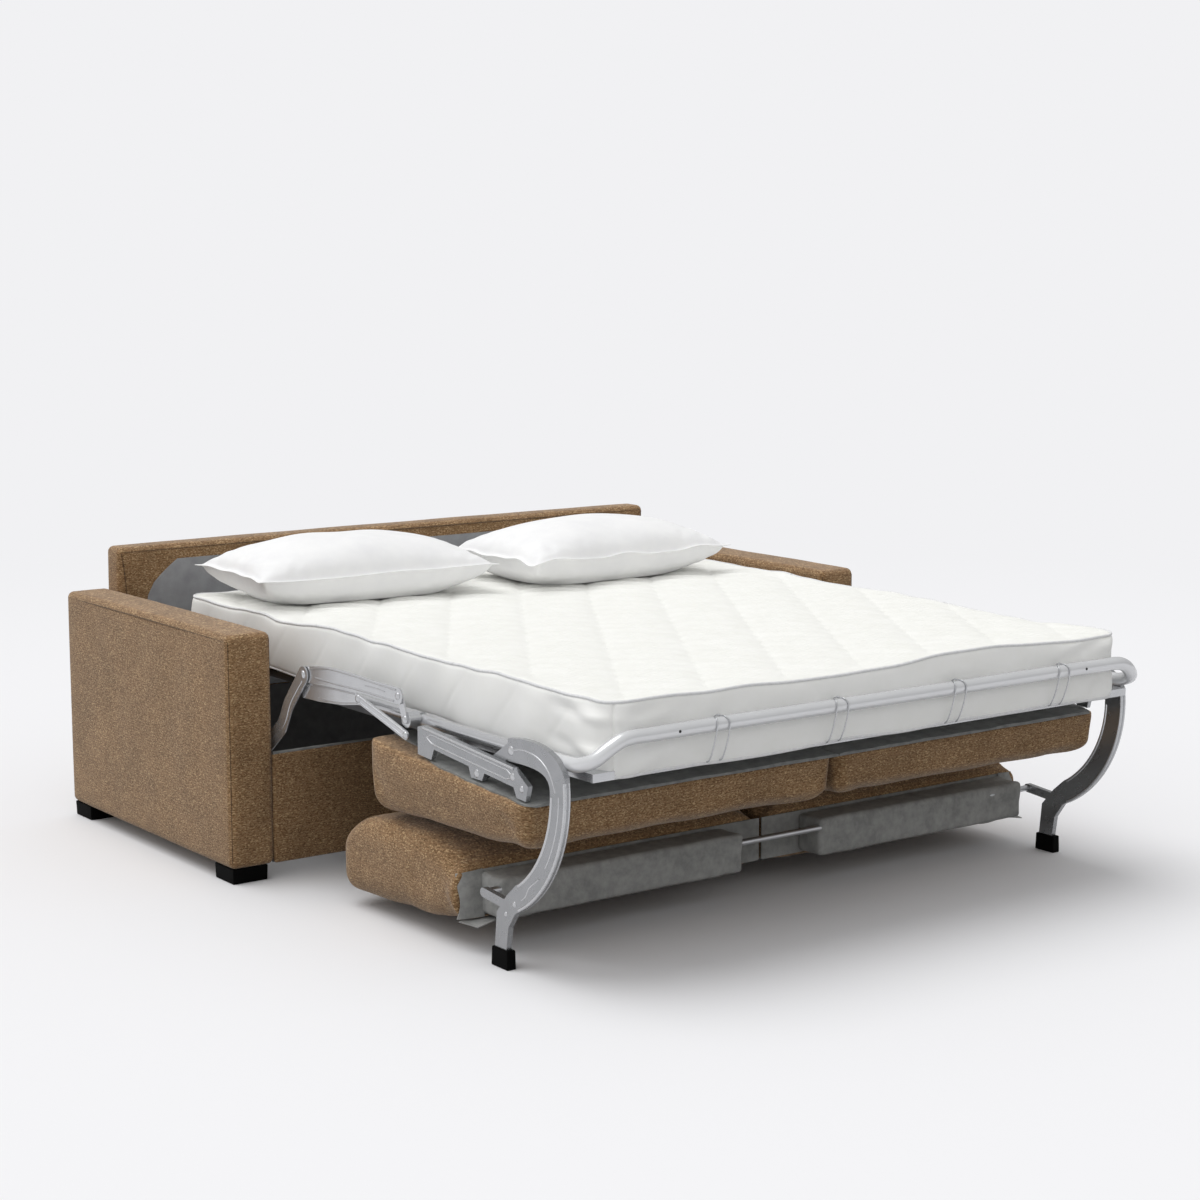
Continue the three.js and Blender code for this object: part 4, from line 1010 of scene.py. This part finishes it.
# %% [markdown]
# ## Floor, light and camera
# The photograph has a pale studio floor that runs into the background. Light comes from above and from the
# left rear, so the tops are bright, the left sides are middling and the fronts are dark. One large soft sun
# and a sky that is darker below and on the right do that. The floor looks pale to the camera, but throws back
# less light than it shows, so that it doesn't brighten the fronts.

# %% Floor
def seen_by(tree, other_ray):
    """1 for the camera's own rays and for one other kind, and 0 for the rays that carry light."""
    ray = add_node(tree, "LightPath")
    return add_node(tree, "Math", {0: ray.outputs["Is Camera Ray"], 1: ray.outputs[other_ray]},
                    operation="MAXIMUM")


PAPER = "#F1F1F3"
NEAR, FAR, FLOOR_SIZE = 1.9, 6.5, 40.0
mesh = bpy.data.meshes.new("studio_floor")
corners = [(x * FLOOR_SIZE, y * FLOOR_SIZE, 0) for x, y in ((-1, -1), (1, -1), (1, 1), (-1, 1))]
mesh.from_pydata(corners, [], [[0, 1, 2, 3]])
floor = new_object("studio_floor", mesh)
paper = bpy.data.materials.new("matt_studio_paper")
tree = empty_tree(paper)
seen = seen_by(tree, "Is Glossy Ray")
where = add_node(tree, "NewGeometry").outputs["Position"]
away = add_node(tree, "VectorMath", {0: where}, operation="LENGTH")
far = remap(tree, away.outputs["Value"], NEAR, FAR, interpolation_type="SMOOTHSTEP")
lit = add_node(tree, "BsdfDiffuse", {"Color": linear("#EEEEF0")})
glow = add_node(tree, "Emission", {"Color": linear(PAPER), "Strength": 1.0})
dull = add_node(tree, "BsdfDiffuse", {"Color": linear("#AEAEAF")})
pale = add_node(tree, "MixShader", {0: far, 1: lit.outputs[0], 2: glow.outputs[0]})
both = add_node(tree, "MixShader", {0: seen.outputs[0], 1: dull.outputs[0], 2: pale.outputs[0]})
add_node(tree, "OutputMaterial", {"Surface": both.outputs[0]})
mesh.materials.append(paper)

# %% Sky and sun
SKY_LEVEL, SKY_SLOPE, SKY_TOWARDS = 0.54, 0.28, (-0.7, -0.15, 0.7)
world = bpy.data.worlds.new("studio")
scene.world = world
tree = empty_tree(world)
seen = seen_by(tree, "Is Transmission Ray")
direction = add_node(tree, "TexCoord").outputs["Generated"]
slope = add_node(tree, "VectorMath", {0: direction, 1: SKY_TOWARDS}, operation="DOT_PRODUCT")
level = add_node(tree, "Math", {0: slope.outputs["Value"], 1: SKY_SLOPE, 2: SKY_LEVEL},
                 operation="MULTIPLY_ADD", use_clamp=True)
sky = add_node(tree, "Background", {"Color": linear("#FFFFFF"), "Strength": level.outputs[0]})
backdrop = add_node(tree, "Background", {"Color": linear(PAPER), "Strength": 1.0})
both = add_node(tree, "MixShader", {0: seen.outputs[0], 1: sky.outputs[0], 2: backdrop.outputs[0]})
add_node(tree, "OutputWorld", {"Surface": both.outputs[0]})

SUN_FROM, SUN_LEVEL, SUN_SOFT = (-0.24, 0.26, 0.93), 1.36, 50
lamp = bpy.data.lights.new("softbox", "SUN")
lamp.energy, lamp.angle = SUN_LEVEL, math.radians(SUN_SOFT)
sun = new_object("softbox", lamp)
sun.rotation_euler = Vector(SUN_FROM).to_track_quat("Z", "Y").to_euler()

# %% Camera and colours
CAMERA, CAMERA_TURN = (-3808.5, -5313.2, 1629.0), (81.38, 0, -36.37)
view = bpy.data.cameras.new("studio_camera")
view.lens, view.sensor_width = 72.26, 36
camera = new_object("studio_camera", view)
camera.location = place([CAMERA])[0]
camera.rotation_euler = [math.radians(angle) for angle in CAMERA_TURN]
scene.camera = camera
scene.view_settings.view_transform = "Standard"
